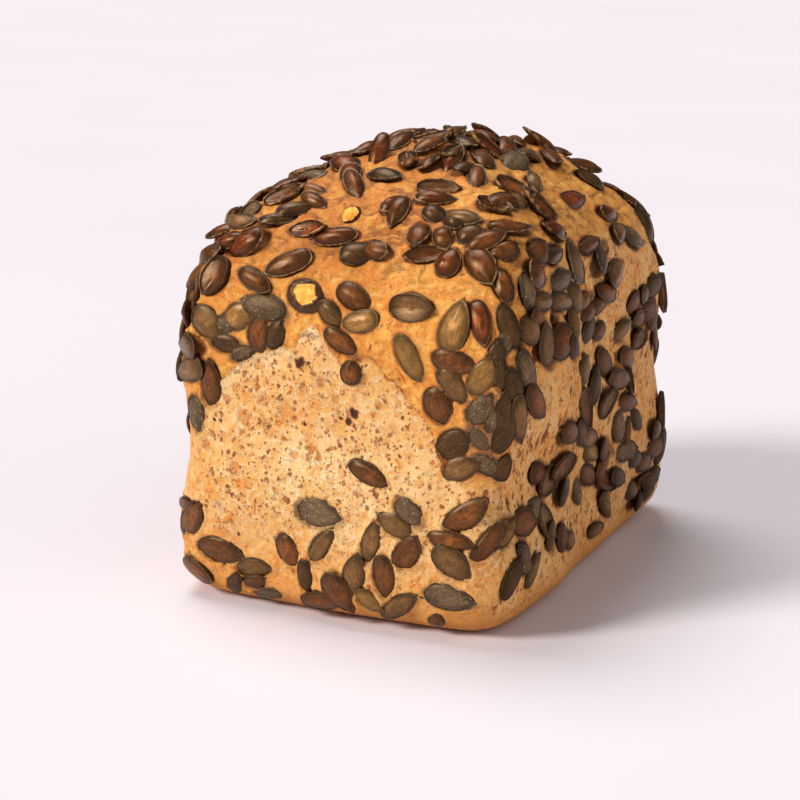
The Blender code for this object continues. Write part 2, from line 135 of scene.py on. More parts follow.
# Seeds read off the loaf: two distances along a wall, or x and y on the dome, then the turn of the tip,
# length, width and tone.
# Tones: b brown, r red-brown, d dark, o olive, l light olive, g grey and dusty, c split
END_SEEDS = (
    (-40, 92, 240, 12, 9.5, "b"), (-33, 101, 203, 14, 8, "r"), (-18, 97, 203, 15, 7, "b"),
    (-27, 92, -22, 12, 6, "b"), (-22, 85, 168, 15, 8, "g"), (-10, 89, -20, 13, 9.5, "c"),
    (-30, 82, 30, 10, 8, "l"), (-40, 79, -35, 12, 9, "o"), (-34, 79, 0, 7, 6, "g"),
    (-23, 78, 85, 11, 8, "b"), (-18, 78, 70, 9, 6, "d"), (-33, 74, -5, 12, 6, "d"),
    (-28, 72, 20, 8, 5, "g"), (-48, 71, 185, 14, 8, "o"), (-46, 65, 200, 13, 8, "o"),
    (-38, 62, 95, 14, 7, "b"), (-49, 80, 30, 12, 8, "r"), (-49, 88, -50, 11, 9, "o"),
    (-45, 97, 20, 12, 7, "b"), (-39, 101, 20, 10, 6, "r"), (-38, 106, 10, 11, 6, "o"),
    (-43, 53, -80, 11, 7, "g"), (-49, 51, 80, 9, 8, "d"), (-44, 23, 60, 13, 8, "b"),
    (-48, 26, 20, 10, 4, "r"), (-51, 17, 90, 9, 5, "d"), (-34, 15, -4, 15, 8, "b"),
    (-23, 11, 8, 13, 7, "o"), (-44, 6, -20, 12, 8, "b"), (-30, 5, 60, 9, 5, "d"),
    (-23, 7, 12, 9, 5, "b"), (-20, 3, 10, 10, 5, "g"), (-12, 18, -62, 11, 7, "b"),
    (-2, 21, 58, 13, 6, "o"), (-7, 11, -85, 11, 5, "d"), (-3, 30, -6, 15, 9, "g"),
    (-3, 4, 8, 14, 7, "b"), (3, 8, -55, 13, 9, "b"), (12, 7, -30, 9, 6, "l"),
    (21, 7, 37, 14, 6, "o"), (8, 14, 80, 13, 7, "o"), (13, 24, 78, 13, 6, "o"),
    (17, 15, -85, 13, 7, "b"), (20, 30, 158, 12, 7, "o"), (24, 34, -40, 11, 7, "g"),
    (24, 23, 62, 11, 8, "b"), (37, 22, -40, 13, 9, "o"), (36, 28, -4, 13, 6, "b"),
    (40, 35, 42, 15, 7, "b"), (46.5, 28, 58, 15, 6, "b"), (50, 30, 70, 10, 5, "o"),
    (36, 12, -6, 14, 8, "g"), (32, 4, 60, 6, 5, "b"), (12, 43, -22, 14, 6, "b"),
    (36, 54, 42, 11, 9, "d"), (38, 48, 22, 11, 7, "o"), (45, 49.5, -40, 9, 6, "g"),
    (49, 48.5, 80, 8, 5.5, "d"), (43, 56, -50, 9, 5, "g"), (49, 58, 75, 12, 6, "d"),
    (4, 90, -25, 12, 7, "b"), (7, 84, 195, 11, 7, "l"), (-2, 85, -40, 10, 6, "o"),
    (2, 78, -28, 12, 6, "b"), (5, 70, 90, 7, 6, "b"), (21, 89, 0, 13, 8, "o"),
    (34, 85, 78, 15, 9, "l"), (41, 87, -68, 13, 6, "r"), (22, 76, -55, 14, 7, "l"),
    (35, 76, -8, 13, 7, "b"), (35, 70, -48, 12, 7, "o"), (31, 64, -70, 11, 9, "b"),
    (43, 73, 62, 12, 7, "l"), (47, 74, -80, 12, 5, "d"), (48, 82, 80, 7, 5, "g"),
    (43, 64, 60, 11, 7, "g"), (48, 63, 70, 13, 6, "g"), (45, 96, -65, 11, 6, "b"),
)
DOME_SEEDS = (
    (-15, -55, 5, 12, 5, "r"), (-6, -56, 188, 14, 6, "r"), (2, -59, 5, 10, 7, "d"),
    (7, -58, -10, 10, 6, "b"), (-25, -53, 10, 12, 5, "d"), (-21, -50, 25, 12, 6, "d"),
    (-27, -46, 25, 12, 7, "b"), (-20, -43, -15, 12, 5, "b"), (-17, -47, -20, 10, 5, "b"),
    (-11, -36, -60, 12, 7, "r"), (-15, -31, -40, 13, 8, "r"), (-1, -35, -15, 12, 7, "d"),
    (6, -46, 70, 8, 5, "b"), (9, -48, -92, 11, 6, "b"), (17, -39, 10, 12, 6, "b"),
    (18, -43, 8, 12, 6, "r"), (20, -48, -20, 8, 6, "d"), (18, -54, -70, 10, 7, "b"),
    (25, -54, -50, 8, 6, "b"), (22, -58, 192, 12, 5, "b"), (29, -59, 75, 9, 7, "r"),
    (28, -48, -3, 12, 5, "o"), (32, -52, 30, 8, 6, "d"), (37, -52, 45, 12, 6, "b"),
    (38, -58, -30, 13.5, 8, "b"), (35, -32, 70, 12, 7, "b"), (34, -39, 20, 10, 6, "b"),
    (40, -41, 60, 13, 5, "b"), (36, -26, 80, 10, 6, "o"), (44, -20, 75, 11, 7, "r"),
    (40, 6, 85, 13, 6, "r"), (45, 26, 85, 13, 6, "r"), (33, -5, -60, 10, 5, "o"),
    (9, -26, 88, 12, 6, "b"), (15, -24, 85, 12, 6, "r"), (25, -30, -65, 13, 6, "b"),
    (21, -27, 70, 11, 6, "d"), (-33, -36, 60, 12, 7, "b"), (2, -26, 120, 11, 6, "b"),
    (-4, -50, 60, 6, 5, "c"), (-20, -17, -124, 12, 7, "l"), (-25, -36, 161, 14, 7, "g"),
    (-8, -40, -50, 14, 6, "b"), (-36, -50, -130, 8, 5, "g"), (25, -1, -80, 14, 9, "g"),
    (19, 6, -70, 13, 7, "b"), (16, 22, -60, 13, 6, "b"), (27, 24, -60, 13, 7, "b"),
    (32, 38, -134, 13, 7, "b"), (37, 31, -122, 12, 6, "d"), (20, -13, 127, 13, 7, "b"),
    (14, 1, -139, 12, 7, "r"), (10, 13, -154, 12, 7, "b"), (2, 12, 180, 12, 7, "o"),
    (1, -5, -148, 13, 7, "r"), (-7, -12, -96, 14, 7, "b"), (-13, -20, -117, 12, 7, "r"),
    (42, -51, -127, 9, 6, "b"), (26, -50, 163, 7, 4, "d"), (13, -18, 99, 13, 6, "d"),
    (24, 12, -80, 12, 8, "o"),
)
SIDE_SEEDS = (
    (-55, 84, -20, 9, 8, "o"), (-46, 78, 100, 13, 9, "o"), (-34, 77, 20, 14, 9, "b"),
    (-27, 73, -30, 12, 7, "d"), (-13, 76, 5, 14, 7, "d"), (-4, 74, -5, 11, 6, "b"),
    (-13, 81, 5, 13, 6, "b"), (3, 84, -10, 15, 7, "b"), (13, 88, 12, 15, 8, "o"),
    (5, 94, 25, 15, 7, "g"), (33, 95, -15, 14, 7, "g"), (24, 98, 8, 13, 6, "o"),
    (-27, 100, 0, 14, 6, "d"), (-43, 97, -20, 10, 8, "b"), (-15, 96, -65, 14, 9, "o"),
    (-30, 93, 5, 14, 7, "g"), (-51, 94, 60, 11, 7, "g"), (-45, 90, -10, 11, 6, "o"),
    (-33, 88, -10, 14, 6, "o"), (-23, 87, -50, 10, 8, "o"), (-16, 85, 5, 13, 5, "o"),
    (-50, 86, -25, 11, 6, "b"), (-57, 73, -70, 13, 7, "g"), (-62, 69, -75, 13, 6, "d"),
    (-52, 64, -50, 13, 7, "b"), (-60, 61, -80, 14, 6, "o"), (-48, 43, -20, 11, 7, "b"),
    (-40, 39, 10, 12, 9, "o"), (-28, 49, -5, 14, 7, "b"), (-29, 40, 0, 15, 8, "b"),
    (-17, 46, -40, 13, 7, "d"), (-9, 43, -12, 12, 6, "o"), (-16, 65, 30, 10, 9, "o"),
    (-15, 53, -70, 13, 8, "b"), (-5, 58, 60, 12, 9, "d"), (2, 63, -45, 13, 8, "b"),
    (4, 50, 20, 12, 8, "o"), (13, 55, -12, 15, 7, "o"), (24, 60, -15, 15, 7, "b"),
    (17, 70, 8, 14, 6, "o"), (28, 76, -10, 14, 8, "b"), (38, 77, -10, 14, 6, "o"),
    (33, 70, -15, 15, 7, "b"), (43, 71, -15, 13, 7, "b"), (34, 64, -10, 15, 7, "b"),
    (20, 46, -15, 15, 6, "b"), (36, 38, -30, 13, 6, "d"), (14, 40, -70, 11, 8, "o"),
    (6, 36, -25, 15, 7, "b"), (-5, 38, -20, 13, 6, "l"), (-8, 32, -25, 15, 7, "b"),
    (-27, 32, -15, 13, 9, "d"), (-16, 29, -42, 14, 6, "g"), (-56, 31, -10, 11, 9, "b"),
    (-49, 33, 20, 10, 7, "g"), (-41, 27, -50, 14, 7, "o"), (-36, 21, -60, 12, 7, "o"),
    (-26, 18, -50, 11, 8, "b"), (-19, 15, -30, 9, 6, "o"), (-55, 22, -45, 9, 6, "g"),
    (-48, 15, 40, 11, 7, "o"), (-61, 16, 65, 12, 6, "d"), (-54, 18, -20, 9, 5, "g"),
    (10, 25, -25, 15, 6, "b"), (19, 23, -25, 13, 6, "d"), (12, 17, -45, 13, 6, "o"),
    (24, 30, -5, 15, 7, "g"), (36, 25, -12, 14, 6, "d"), (57, 28, -15, 15, 7, "o"),
    (58, 22, -10, 14, 7, "b"), (48, 21, -10, 14, 7, "b"), (38, 15, -15, 14, 7, "b"),
    (50, 14, -10, 14, 7, "b"), (58, 12, 10, 13, 7, "d"), (5, 11, -5, 12, 5, "o"),
    (51, 62, -60, 12, 8, "o"), (63, 72, -80, 13, 7, "b"), (62, 56, -75, 13, 7, "b"),
    (-36, 102, 20, 9, 8, "b"), (-25, 80, 80, 11, 6, "o"), (24, 53, 60, 10, 7, "d"),
    (-4, 82, 15, 11, 6, "b"), (47, 78, 0, 12, 8, "d"), (46, 70, 80, 12, 8, "b"),
    (52, 97, 90, 14, 8, "d"), (-1, 98.5, 3, 13, 5, "b"), (-62, 86, 85, 12, 6, "d"),
    (6, 31, 30, 11, 7, "b"), (24, 36, 80, 9, 4, "b"), (47, 9, 10, 13, 6, "d"),
    (56, 7, 10, 12, 6, "d"), (64, 30, 85, 13, 8, "d"), (64, 19, 85, 13, 8, "d"),
    (-65, 63, 85, 13, 6, "d"), (-66, 77, 80, 12, 6, "d"),
)
LEFT_SEEDS = (
    (-60, 92, 85, 13, 7, "b"), (-62, 86, 80, 11, 7, "b"), (-52, 103, 70, 12, 8, "r"),
    (-60, 65, 80, 11, 6, "d"), (-59, 76, 95, 12, 7, "o"),
)
LISTED_SEEDS = {"end": END_SEEDS, "side": SIDE_SEEDS, "left": LEFT_SEEDS, "dome": DOME_SEEDS}
WALL_TONES = "bbbbdddoooog"
TOP_TONES = "bbbbbbrrrrdo"
KINDS = {
    "b": "seeds_brown",
    "r": "seeds_red_brown",
    "d": "seeds_dark",
    "o": "seeds_olive",
    "l": "seeds_light_olive",
    "g": "seeds_dusty",
    "c": "seed_split",
}

# The edge of the torn skin: distances along a wall and heights. Then the walls in the order in which they
# follow round the loaf, with the length of each and the direction of its distances
TORN_END = (
    (-54, 42), (-47, 46), (-42, 56), (-38, 61), (-31, 67), (-27, 71), (-22, 72.5), (-16, 75.5),
    (-12, 73.5), (-9.8, 79.5), (-7.8, 81.5), (-4.8, 81), (-1, 77), (3, 73), (6, 74), (10, 76),
    (13.5, 73.5), (17.5, 70.5), (21.5, 66.5), (27, 61), (30.5, 57), (32, 51), (35, 46.5), (41, 45),
    (47, 46), (54, 47),
)
TORN_SIDE = (
    (-68, 48), (-62, 60), (-56, 72), (-40, 74), (-36, 84), (-33, 98), (-11, 99.5), (7, 100),
    (38, 97), (52, 95), (68, 92),
)
TORN_BACK = ((54, 90), (30, 80), (10, 84), (-20, 76), (-54, 84))
TORN_LEFT = ((68, 84), (40, 78), (10, 86), (-20, 80), (-50, 76), (-68, 44))
TORN_EDGES = ((TORN_END, WIDTH, 1), (TORN_SIDE, LENGTH, 1), (TORN_BACK, WIDTH, -1), (TORN_LEFT, LENGTH, -1))
LIP_HEIGHT = 0.75

# Marks of a wall: two distances along it, and a radius
BURNT_SPOTS = (
    (5.5, 57, 0.9), (7.3, 59, 1.1), (6.4, 60.2, 0.7), (3.2, 57.6, 0.6), (-9.8, 71.3, 1.4), (-6.9, 71.6, 0.5),
    (-6.2, 70.6, 0.3), (-36.3, 52.2, 0.5), (-34.3, 52.5, 0.4), (-34.5, 54.7, 0.5), (-7.5, 54.8, 0.4),
    (12.7, 52.7, 0.4), (27, 25.5, 0.4), (17, 13.5, 0.4), (-28, 20.6, 0.5), (29, 12, 0.5), (3.5, 35, 0.4),
)
ORANGE_SPOTS = (
    (-25.5, 36, 2.0), (-36, 32.6, 1.8), (-15.7, 54, 1.2), (-5, 49, 1.7), (10.6, 77, 1.9),
    (16.4, 85, 1.2), (21.5, 47.3, 1.3), (43, 45.5, 1.2), (26.5, 53.5, 1.1), (-34, 79, 1.1),
    (18, 71, 1.0), (15, 74.5, 1.2), (7.5, 79.5, 1.2), (43.5, 88, 1.2), (-18, 108, 1.6), (24, 67.5, 1.1),
)
CRATERS = (
    (-26.7, 54.3, 2.7), (-20.9, 59.7, 2.1), (-13.9, 57.8, 2.5), (-23, 69, 1.9), (-8, 64, 1.9),
    (-18.4, 51.5, 2.2), (-28, 40, 2.1), (-38.6, 45, 1.8), (-3, 67, 1.6), (1.6, 62.4, 1.5),
    (-30, 62, 1.6), (-33, 48, 1.7), (-10, 46, 1.6), (14, 62, 1.4),
)
# Slits and hollows are dents that the material darkens as painted shade
SLITS = (
    (-54.4, 53.8, 0.7), (-49.7, 51.8, 0.8), (-56.6, 48.7, 0.6), (-59.5, 51.2, 0.6), (-54.6, 50.5, 0.5),
    (-61.8, 37.8, 0.7), (-46.2, 54.8, 1.0), (-60.2, 47.2, 0.5), (-35, 63, 0.8), (-33, 60, 0.6),
    (-37, 66, 0.6), (-42, 62, 0.6), (-47, 53, 0.7), (-55, 65, 0.6), (-31, 55, 0.5), (-39, 56, 0.7),
    (-36, 50, 0.5), (-44, 48, 0.6), (31, 88, 0.6), (30, 82, 0.5), (-20, 92, 0.5), (28, 66, 0.5),
)
HOLLOWS = (
    (-38, 82, 3.0), (-40, 78.5, 2.4), (-31, 83, 1.4), (-53, 77, 1.8), (-60, 81, 1.6), (-31.5, 63, 1.2),
    (11, 62, 1.6), (-21, 46, 1.4), (-12.5, 41.5, 1.8), (-20, 38.5, 1.5), (-5, 41.5, 1.5), (-26, 68, 1.2),
)

# Carrot shreds of each wall: two distances along it, turn, length, bend of the arc in degrees, and width
SHREDS = {
    "end": (
        (-31.5, 25.5, 40, 9.5, 120, 1.3), (26.8, 15.5, 50, 6, 15, 1.0), (49, 15, 88, 8, 8, 0.9),
        (-25.5, 36, -18, 6, 20, 1.0), (-22, 30.5, 85, 5.5, 12, 0.6), (-36, 32.6, 12, 5, 25, 1.1),
        (21.3, 47.2, -50, 4.5, 20, 1.0), (44, 9, 60, 5, 40, 0.9), (10.5, 77, 70, 4, 30, 1.6),
        (16.5, 85, 30, 3, 10, 1.3), (-15.6, 54, 30, 3.5, 30, 1.0), (-5.3, 49, -28, 5, 20, 0.9),
        (20, 71.5, -55, 5, 15, 0.8), (26, 65, -40, 5, 10, 0.6),
    ),
    "side": (
        (-37, 59, 80, 6, 20, 0.9), (-37, 53.5, 10, 5, 15, 0.9), (-65, 16, 88, 7, 10, 0.9),
        (-13, 19, 40, 5, 30, 1.0), (22, 33, 20, 6, 35, 1.1), (-57, 26, -20, 5, 20, 0.9),
        (44, 84, 10, 6, 30, 1.0), (10, 78, -20, 5, 15, 0.9),
    ),
    "back": (
        (20, 40, 30, 7, 60, 1.1), (-15, 55, -50, 6, 20, 1.0), (-30, 25, 10, 8, 100, 1.2),
        (5, 70, 80, 5, 15, 0.9),
    ),
    "left": (
        (-30, 45, 60, 7, 50, 1.1), (10, 60, -20, 6, 20, 1.0), (40, 35, 30, 8, 90, 1.2),
        (-5, 28, 75, 6, 15, 0.9), (30, 68, 5, 5, 20, 1.0), (-50, 60, -60, 6, 30, 1.0),
    ),
}

# Looks of the seeds: colours light, deep, glow (a painted glow in the middle) and rim, the share of flakes,
# and roughness
SEED_LOOKS = {
    "b": ((118, 66, 30), (58, 27, 7), (160, 86, 28), (190, 142, 92), 0.1, 0.25),
    "r": ((118, 52, 20), (58, 23, 6), (184, 84, 20), (192, 132, 76), 0.05, 0.22),
    "d": ((82, 52, 27), (38, 23, 8), (100, 62, 32), (142, 108, 74), 0.08, 0.28),
    "o": ((131, 92, 52), (67, 45, 22), (162, 113, 62), (174, 142, 98), 0.08, 0.25),
    "l": ((168, 121, 66), (100, 72, 32), (206, 146, 72), (200, 164, 106), 0.06, 0.2),
    "g": ((118, 93, 70), (60, 47, 33), (126, 100, 70), (168, 146, 114), 0.6, 0.4),
}

# Noises of the crust (broad, blotch, spotted and grain): scale, detail and roughness
CRUST_NOISES = ((60.0, 3.0, 0.55), (260.0, 5.0, 0.62), (620.0, 5.0, 0.7), (1700.0, 5.0, 0.7))

# Pores of the wall: scale, share of the cells with one, the largest radius, and how dark they get
WALL_PORES = ((330.0, 0.6, 0.38, 0.8), (560.0, 0.95, 0.44, 0.8), (980.0, 1.0, 0.46, 0.4))

# Lights: name, the way to it, strength, spread in degrees and tint
SUNS = (
    ("window", (-0.55, -0.66, 0.55), 2.8, 18, (1.0, 0.965, 0.91)),
    ("ceiling", (-0.35, 0.2, 0.9), 1.7, 34, (1.0, 0.985, 0.97)),
    ("bounce", (0.85, -0.3, 0.5), 0.86, 80, (1.0, 0.94, 0.87)),
)

# The camera of the photograph's view
CAMERA_AZIMUTH = 24.63
CAMERA_ELEVATION = 14.43
CAMERA_DISTANCE = 609.2
CAMERA_TARGET = (-11.4, 0, 45.0)
CAMERA_ROLL = 0.6
CAMERA_LENS = 90
CAMERA_SENSOR = 36

# The floor, from its middle to its edge, and how far it lies under the loaf
FLOOR_SIZE = 6000
FLOOR_GAP = 0.3


# ---- the form of the loaf


def crust_waves():
    """Slow uneven waves of the crust: for each one its direction with its pitch, and its phase."""
    rng = random.Random(11)
    waves = []
    for _ in range(WAVE_COUNT):
        direction = Vector([rng.gauss(0, 1) for _ in range(3)]).normalized()
        pitch = rng.uniform(*WAVE_LENGTHS)
        waves.append((np.array(direction) * math.tau / pitch, rng.uniform(0, math.tau)))
    return waves


WAVES = crust_waves()


def half_sizes(height):
    """Half the loaf's width and half its length at a height."""
    rise = height / WALL_HEIGHT - 1
    return WIDTH / 2 * (1 + WIDTH_FLARE * rise), LENGTH / 2 * (1 + LENGTH_FLARE * rise)


def smooth_form(places):
    """Points of the even loaf and the outward directions there, for places on a unit cube or beyond."""
    x, y, z = np.abs(places).T
    power = np.where(places[:, 2] > 0, DOME_POWER, FOOT_POWER)
    plan = x**CORNER_POWER + y**CORNER_POWER
    reach = (plan ** (power / CORNER_POWER) + z**power) ** (1 / power)
    unit = places / reach[:, None]
    depth = np.where(places[:, 2] > 0, DOME_HEIGHT, FOOT_DEPTH)
    height = np.maximum(WALL_HEIGHT + unit[:, 2] * depth, 0)
    half_width, half_length = half_sizes(height)
    points = np.stack([unit[:, 0] * half_width, unit[:, 1] * half_length, height], axis=1)
    plan = (np.abs(unit[:, :2]) ** CORNER_POWER).sum(axis=1) + 1e-9
    outward = np.sign(unit) * np.abs(unit) ** (CORNER_POWER - 1)
    outward *= (plan ** (power / CORNER_POWER - 1))[:, None]
    outward[:, 2] = np.sign(unit[:, 2]) * np.abs(unit[:, 2]) ** (power - 1)
    outward /= np.stack([half_width, half_length, depth], axis=1)
    outward /= np.linalg.norm(outward, axis=1)[:, None]
    return points, outward


def crust(places):
    """Points of the uneven crust and the outward directions there."""
    points, outward = smooth_form(places)
    push = np.zeros(len(points))
    for direction, phase in WAVES:
        push += WAVE_DEPTH * np.sin(points @ direction + phase)
    for middle, depth, spread in DENTS:
        away = np.linalg.norm(points - np.array(middle), axis=1) / spread
        push -= depth * np.exp(-(away**2) / 2)
    push *= np.clip(points[:, 2] / EVEN_FOOT, 0, 1)
    moved = points + outward * push[:, None]
    moved[:, 2] = np.maximum(moved[:, 2], 0)
    return moved, outward


def place_on_wall(across, height, wall):
    """The place of a crust point from its two distances on a wall."""
    power, depth = (DOME_POWER, DOME_HEIGHT) if height > WALL_HEIGHT else (FOOT_POWER, FOOT_DEPTH)
    axis, sign = WALLS[wall]
    upward = (height - WALL_HEIGHT) / depth
    sideways = across / half_sizes(height)[axis]
    left = (1 - abs(upward) ** power) ** (CORNER_POWER / power) - abs(sideways) ** CORNER_POWER
    outward = sign * max(left, 0.001) ** (1 / CORNER_POWER)
    return (outward, sideways, upward) if axis else (sideways, outward, upward)


def point_on_dome(x, y):
    """The point at x, y of the round dome that the seeds on top seem to lie on."""
    plan = abs(2 * x / WIDTH) ** CORNER_POWER + abs(2 * y / LENGTH) ** CORNER_POWER
    upward = math.sqrt(max(1 - plan ** (2 / CORNER_POWER), 0.01))
    return np.array((x, y, WALL_HEIGHT + SEEN_DOME_HEIGHT * upward))


def seen_point(across, along, wall):
    """A point from its two distances on a wall of the even loaf, or on the dome seen from above."""
    if wall == "dome":
        return point_on_dome(across, along)
    return smooth_form(np.array([place_on_wall(across, along, wall)]))[0][0]


# ---- where the seeds lie


def height_share(point):
    """0 on the tin's walls, 1 on the dome."""
    return min(max((point[2] - PROUD_FROM) / (PROUD_AT - PROUD_FROM), 0), 1)


def proudness(point, outward):
    """How proud a seed stands: 0 where the tin pressed it into the first end face, 1 on the dome."""
    share = height_share(point)
    return share if outward[1] < FACES_THE_END else max(share, PROUD_ON_WALLS)


def seed_stand(share):
    """Height of a seed's middle over the crust and its thickness, for how proud it stands."""
    height = PRESSED + (PROUD - PRESSED) * share
    return height, PRESSED_THICKNESS + (PROUD_THICKNESS - PRESSED_THICKNESS) * share


def place_of(point):
    """The place of a point that is on the even loaf or near it."""
    rise = point[2] / WALL_HEIGHT - 1
    depth = DOME_HEIGHT if rise > 0 else FOOT_DEPTH
    half_width, half_length = half_sizes(point[2])
    return point[0] / half_width, point[1] / half_length, rise * WALL_HEIGHT / depth


def place_under(seen):
    """The place on the uneven crust of a seed that hides the seen point from the eye."""
    sight = np.array(EYE) - seen
    sight /= np.linalg.norm(sight)
    moved = seen
    for _ in range(SIGHT_STEPS):
        points, outwards = crust(np.array([place_of(moved)]))
        height, thickness = seed_stand(proudness(points[0], outwards[0]))
        off = points[0] + outwards[0] * (height + SEEN_AT * thickness) - seen
        off -= off.dot(sight) * sight
        slope = max(outwards[0].dot(sight), FLATTEST_SIGHT)
        shift = moved - off + sight * off.dot(outwards[0]) / slope - seen
        moved = seen + np.clip(shift, -FARTHEST_SHIFT, FARTHEST_SHIFT)
    return place_of(moved)


def listed_seeds():
    """The seeds read off the loaf, as (place, direction of the tip, length, width, tone)."""
    seeds = []
    for wall, rows in LISTED_SEEDS.items():
        for across, along, turn, length, width, tone in rows:
            turn = math.radians(turn)
            here = seen_point(across, along, wall)
            there = seen_point(across + math.cos(turn), along + math.sin(turn), wall)
            place = place_of(here) if wall == "left" else place_under(here)
            seeds.append((place, tuple(there - here), length, width, tone))
    return seeds


def seediness(point):
    """How likely a scattered seed is at a point of the crust, from 0 to 1."""
    x, y, z = point
    listed_wall = y < -52 or (x > 45 and z < 100)
    if z < LOWEST_SEED or listed_wall:
        return 0.0
    if z > PROUD_AT:
        listed_or_bare = (x > 24 and -24 < y < 46) or (x > -28 and y < -30)
        return 0.0 if listed_or_bare else 1.0
    patches = math.sin(x / 17 + y / 13 + 1.0) + math.sin(y / 21 - z / 15) + math.sin(z / 11 + x / 19)
    low_or_high = 0.5 if z < 30 or z > 76 else 0.0
    return 1.0 if patches + low_or_high > 0.15 else LONE_SEEDS


def scattered_seeds(taken, seed, spacing, tries):
    """Seeds spread evenly over the parts of the crust that carry them, clear of those already there."""
    rng = random.Random(seed)
    middles = [crust(np.array([row[0]]))[0][0] for row in taken]
    seeds = []
    for _ in range(tries):
        place = [rng.uniform(-1, 1) for _ in range(3)]
        place[rng.randrange(3)] = rng.choice((-1, 1))
        tip = [rng.gauss(0, 1) for _ in range(3)]
        length = rng.uniform(*LENGTH_RANGE)
        width = rng.uniform(*WIDTH_RANGE)
        chance = rng.random()
        point = crust(np.array([place]))[0][0]
        nearest = np.linalg.norm(np.array(middles) - point, axis=1).min()
        if nearest > spacing and chance < seediness(point):
            middles.append(point)
            seeds.append((tuple(place), tuple(tip), length, width, ""))
    return seeds


def seed_placing(row, rng, layer):
    """The matrix that lays a seed on the crust, its size and its looks. Layer 1 lies on other seeds."""
    place, tip, length, width, tone = row
    points, outwards = crust(np.array([place]))
    outward = Vector(outwards[0])
    along = Vector(tip)
    along = (along - along.dot(outward) * outward).normalized()
    share = proudness(points[0], outward)
    sunk = soft_noise(np.array([points[0]]) * 7.3, 1.0, 95)[0] * SINKING + (SINKING if tone == "g" else 0)
    height, thickness = seed_stand(share)
    middle = Vector(points[0]) + outward * (height - sunk + layer * share)
    turn = Matrix((along, outward.cross(along), outward)).transposed().to_4x4()
    tilt, roll = (
        Matrix.Rotation(rng.gauss(0, 1) * SEED_TILT * share * (1 + layer / 2), 4, axis) for axis in "YX"
    )
    matrix = Matrix.Translation(middle) @ turn @ tilt @ roll
    return {
        "matrix": np.array(matrix), "length": length, "width": width, "thickness": thickness,
        "share": share, "layer": layer, "tone": tone, "flat": 1 - height_share(points[0]),
        "gloss": max(height_share(points[0]), END_GLOSS if outward[1] < FACES_THE_END else WALL_GLOSS),
    }


def all_seeds():
    """Every seed: those of the solid first, the largest of them first, then the finer filling."""
    listed = listed_seeds()
    seeds = listed + scattered_seeds(listed, 23, SCATTER_SPACING, SCATTER_TRIES)
    seeds.sort(key=lambda row: -row[2] * row[3])
    rng = random.Random(5)
    placed = [seed_placing(row, rng, 0) for row in seeds]
    fillers = scattered_seeds(seeds, 31, FILLER_SPACING, FILLER_TRIES)
    placed += [seed_placing(row, rng, rng.uniform(0.2, 1.0)) for row in fillers]
    for seed in placed:
        on_top = seed["matrix"][2, 3] > PROUD_AT
        seed["tone"] = seed["tone"] or rng.choice(TOP_TONES if on_top else WALL_TONES)
    return placed


# ---- noise


def lattice_value(cells, seed):
    """An even random value from 0 to 1 for each whole-number cell."""
    x, y, z = (cells.astype(np.int64) & 0xFFFF).T
    mixed = (x * 73856093) ^ (y * 19349663) ^ (z * 83492791) ^ (seed * 2654435761 & 0xFFFFFFFF)
    mixed = (mixed & 0xFFFFFFFF) * 2246822519 & 0xFFFFFFFF
    mixed ^= mixed >> 15
    mixed = mixed * 3266489917 & 0xFFFFFFFF
    mixed ^= mixed >> 13
    return (mixed & 0xFFFFFF) / 0x1000000


def soft_noise(points, size, seed):
    """Smooth noise from -1 to 1 whose lumps are about as large as size."""
    scaled = points / np.array(size)
    base = np.floor(scaled)
    part = scaled - base
    part = part * part * (3 - 2 * part)
    total = np.zeros(len(points))
    for corner in itertools.product((0, 1), repeat=3):
        weight = np.prod(np.where(corner, part, 1 - part), axis=1)
        total += weight * lattice_value(base + corner, seed)
    return total * 2 - 1


def rough_noise(points, size, seed):
    """Soft noise with two finer octaves on it."""
    total = np.zeros(len(points))
    for octave in range(3):
        total += soft_noise(points, np.array(size) / 2**octave, seed + octave) / 2**octave
    return total / 1.5


def pores(points, size, seed, share, radii):
    """Depth from 0 to 1 of round pores, at most one to a cell, whose radii lie between the two given."""
    scaled = points / size
    base = np.floor(scaled)
    deepest = np.zeros(len(points))
    for corner in itertools.product((-1, 0, 1), repeat=3):
        cells = base + corner
        there = lattice_value(cells, seed) < share
        jitter = np.stack([lattice_value(cells, seed + 1 + axis) for axis in range(3)], axis=1)
        radius = radii[0] + (radii[1] - radii[0]) * lattice_value(cells, seed + 4) ** 2
        away = np.linalg.norm((cells + jitter - scaled) * size, axis=1) / radius
        deepest = np.maximum(deepest, np.where(there, ramp(away, 1.2, 0.45), 0))
    return deepest


def ramp(values, low, high):
    """0 below low, 1 above high and a smooth rise between. Low may be the larger one."""
    part = np.clip((values - low) / (high - low), 0, 1)
    return part * part * (3 - 2 * part)


def ridge(values, middle, spread):
    """1 at the middle value and a smooth fall on both sides of it."""
    return np.exp(-(((values - middle) / spread) ** 2))


# ---- the crust


def crust_grid():
    """A cube of fine square faces with more of them on the end face, as a bmesh of places."""
    form = bmesh.new()
    bmesh.ops.create_cube(form, size=2)
    bmesh.ops.subdivide_edges(form, edges=form.edges[:], cuts=GRID - 1, use_grid_fill=True)
    for part, splits in (
        (lambda middle: middle.z > -0.999, GRID_SPLITS),  # all but the underside
        (lambda middle: middle.y < -0.999, END_SPLITS),  # the first end face
    ):
        faces = [face for face in form.faces if part(face.calc_center_median())]
        edges = list({edge for face in faces for edge in face.edges})
        bmesh.ops.subdivide_edges(form, edges=edges, cuts=splits - 1, use_grid_fill=True)
    return form


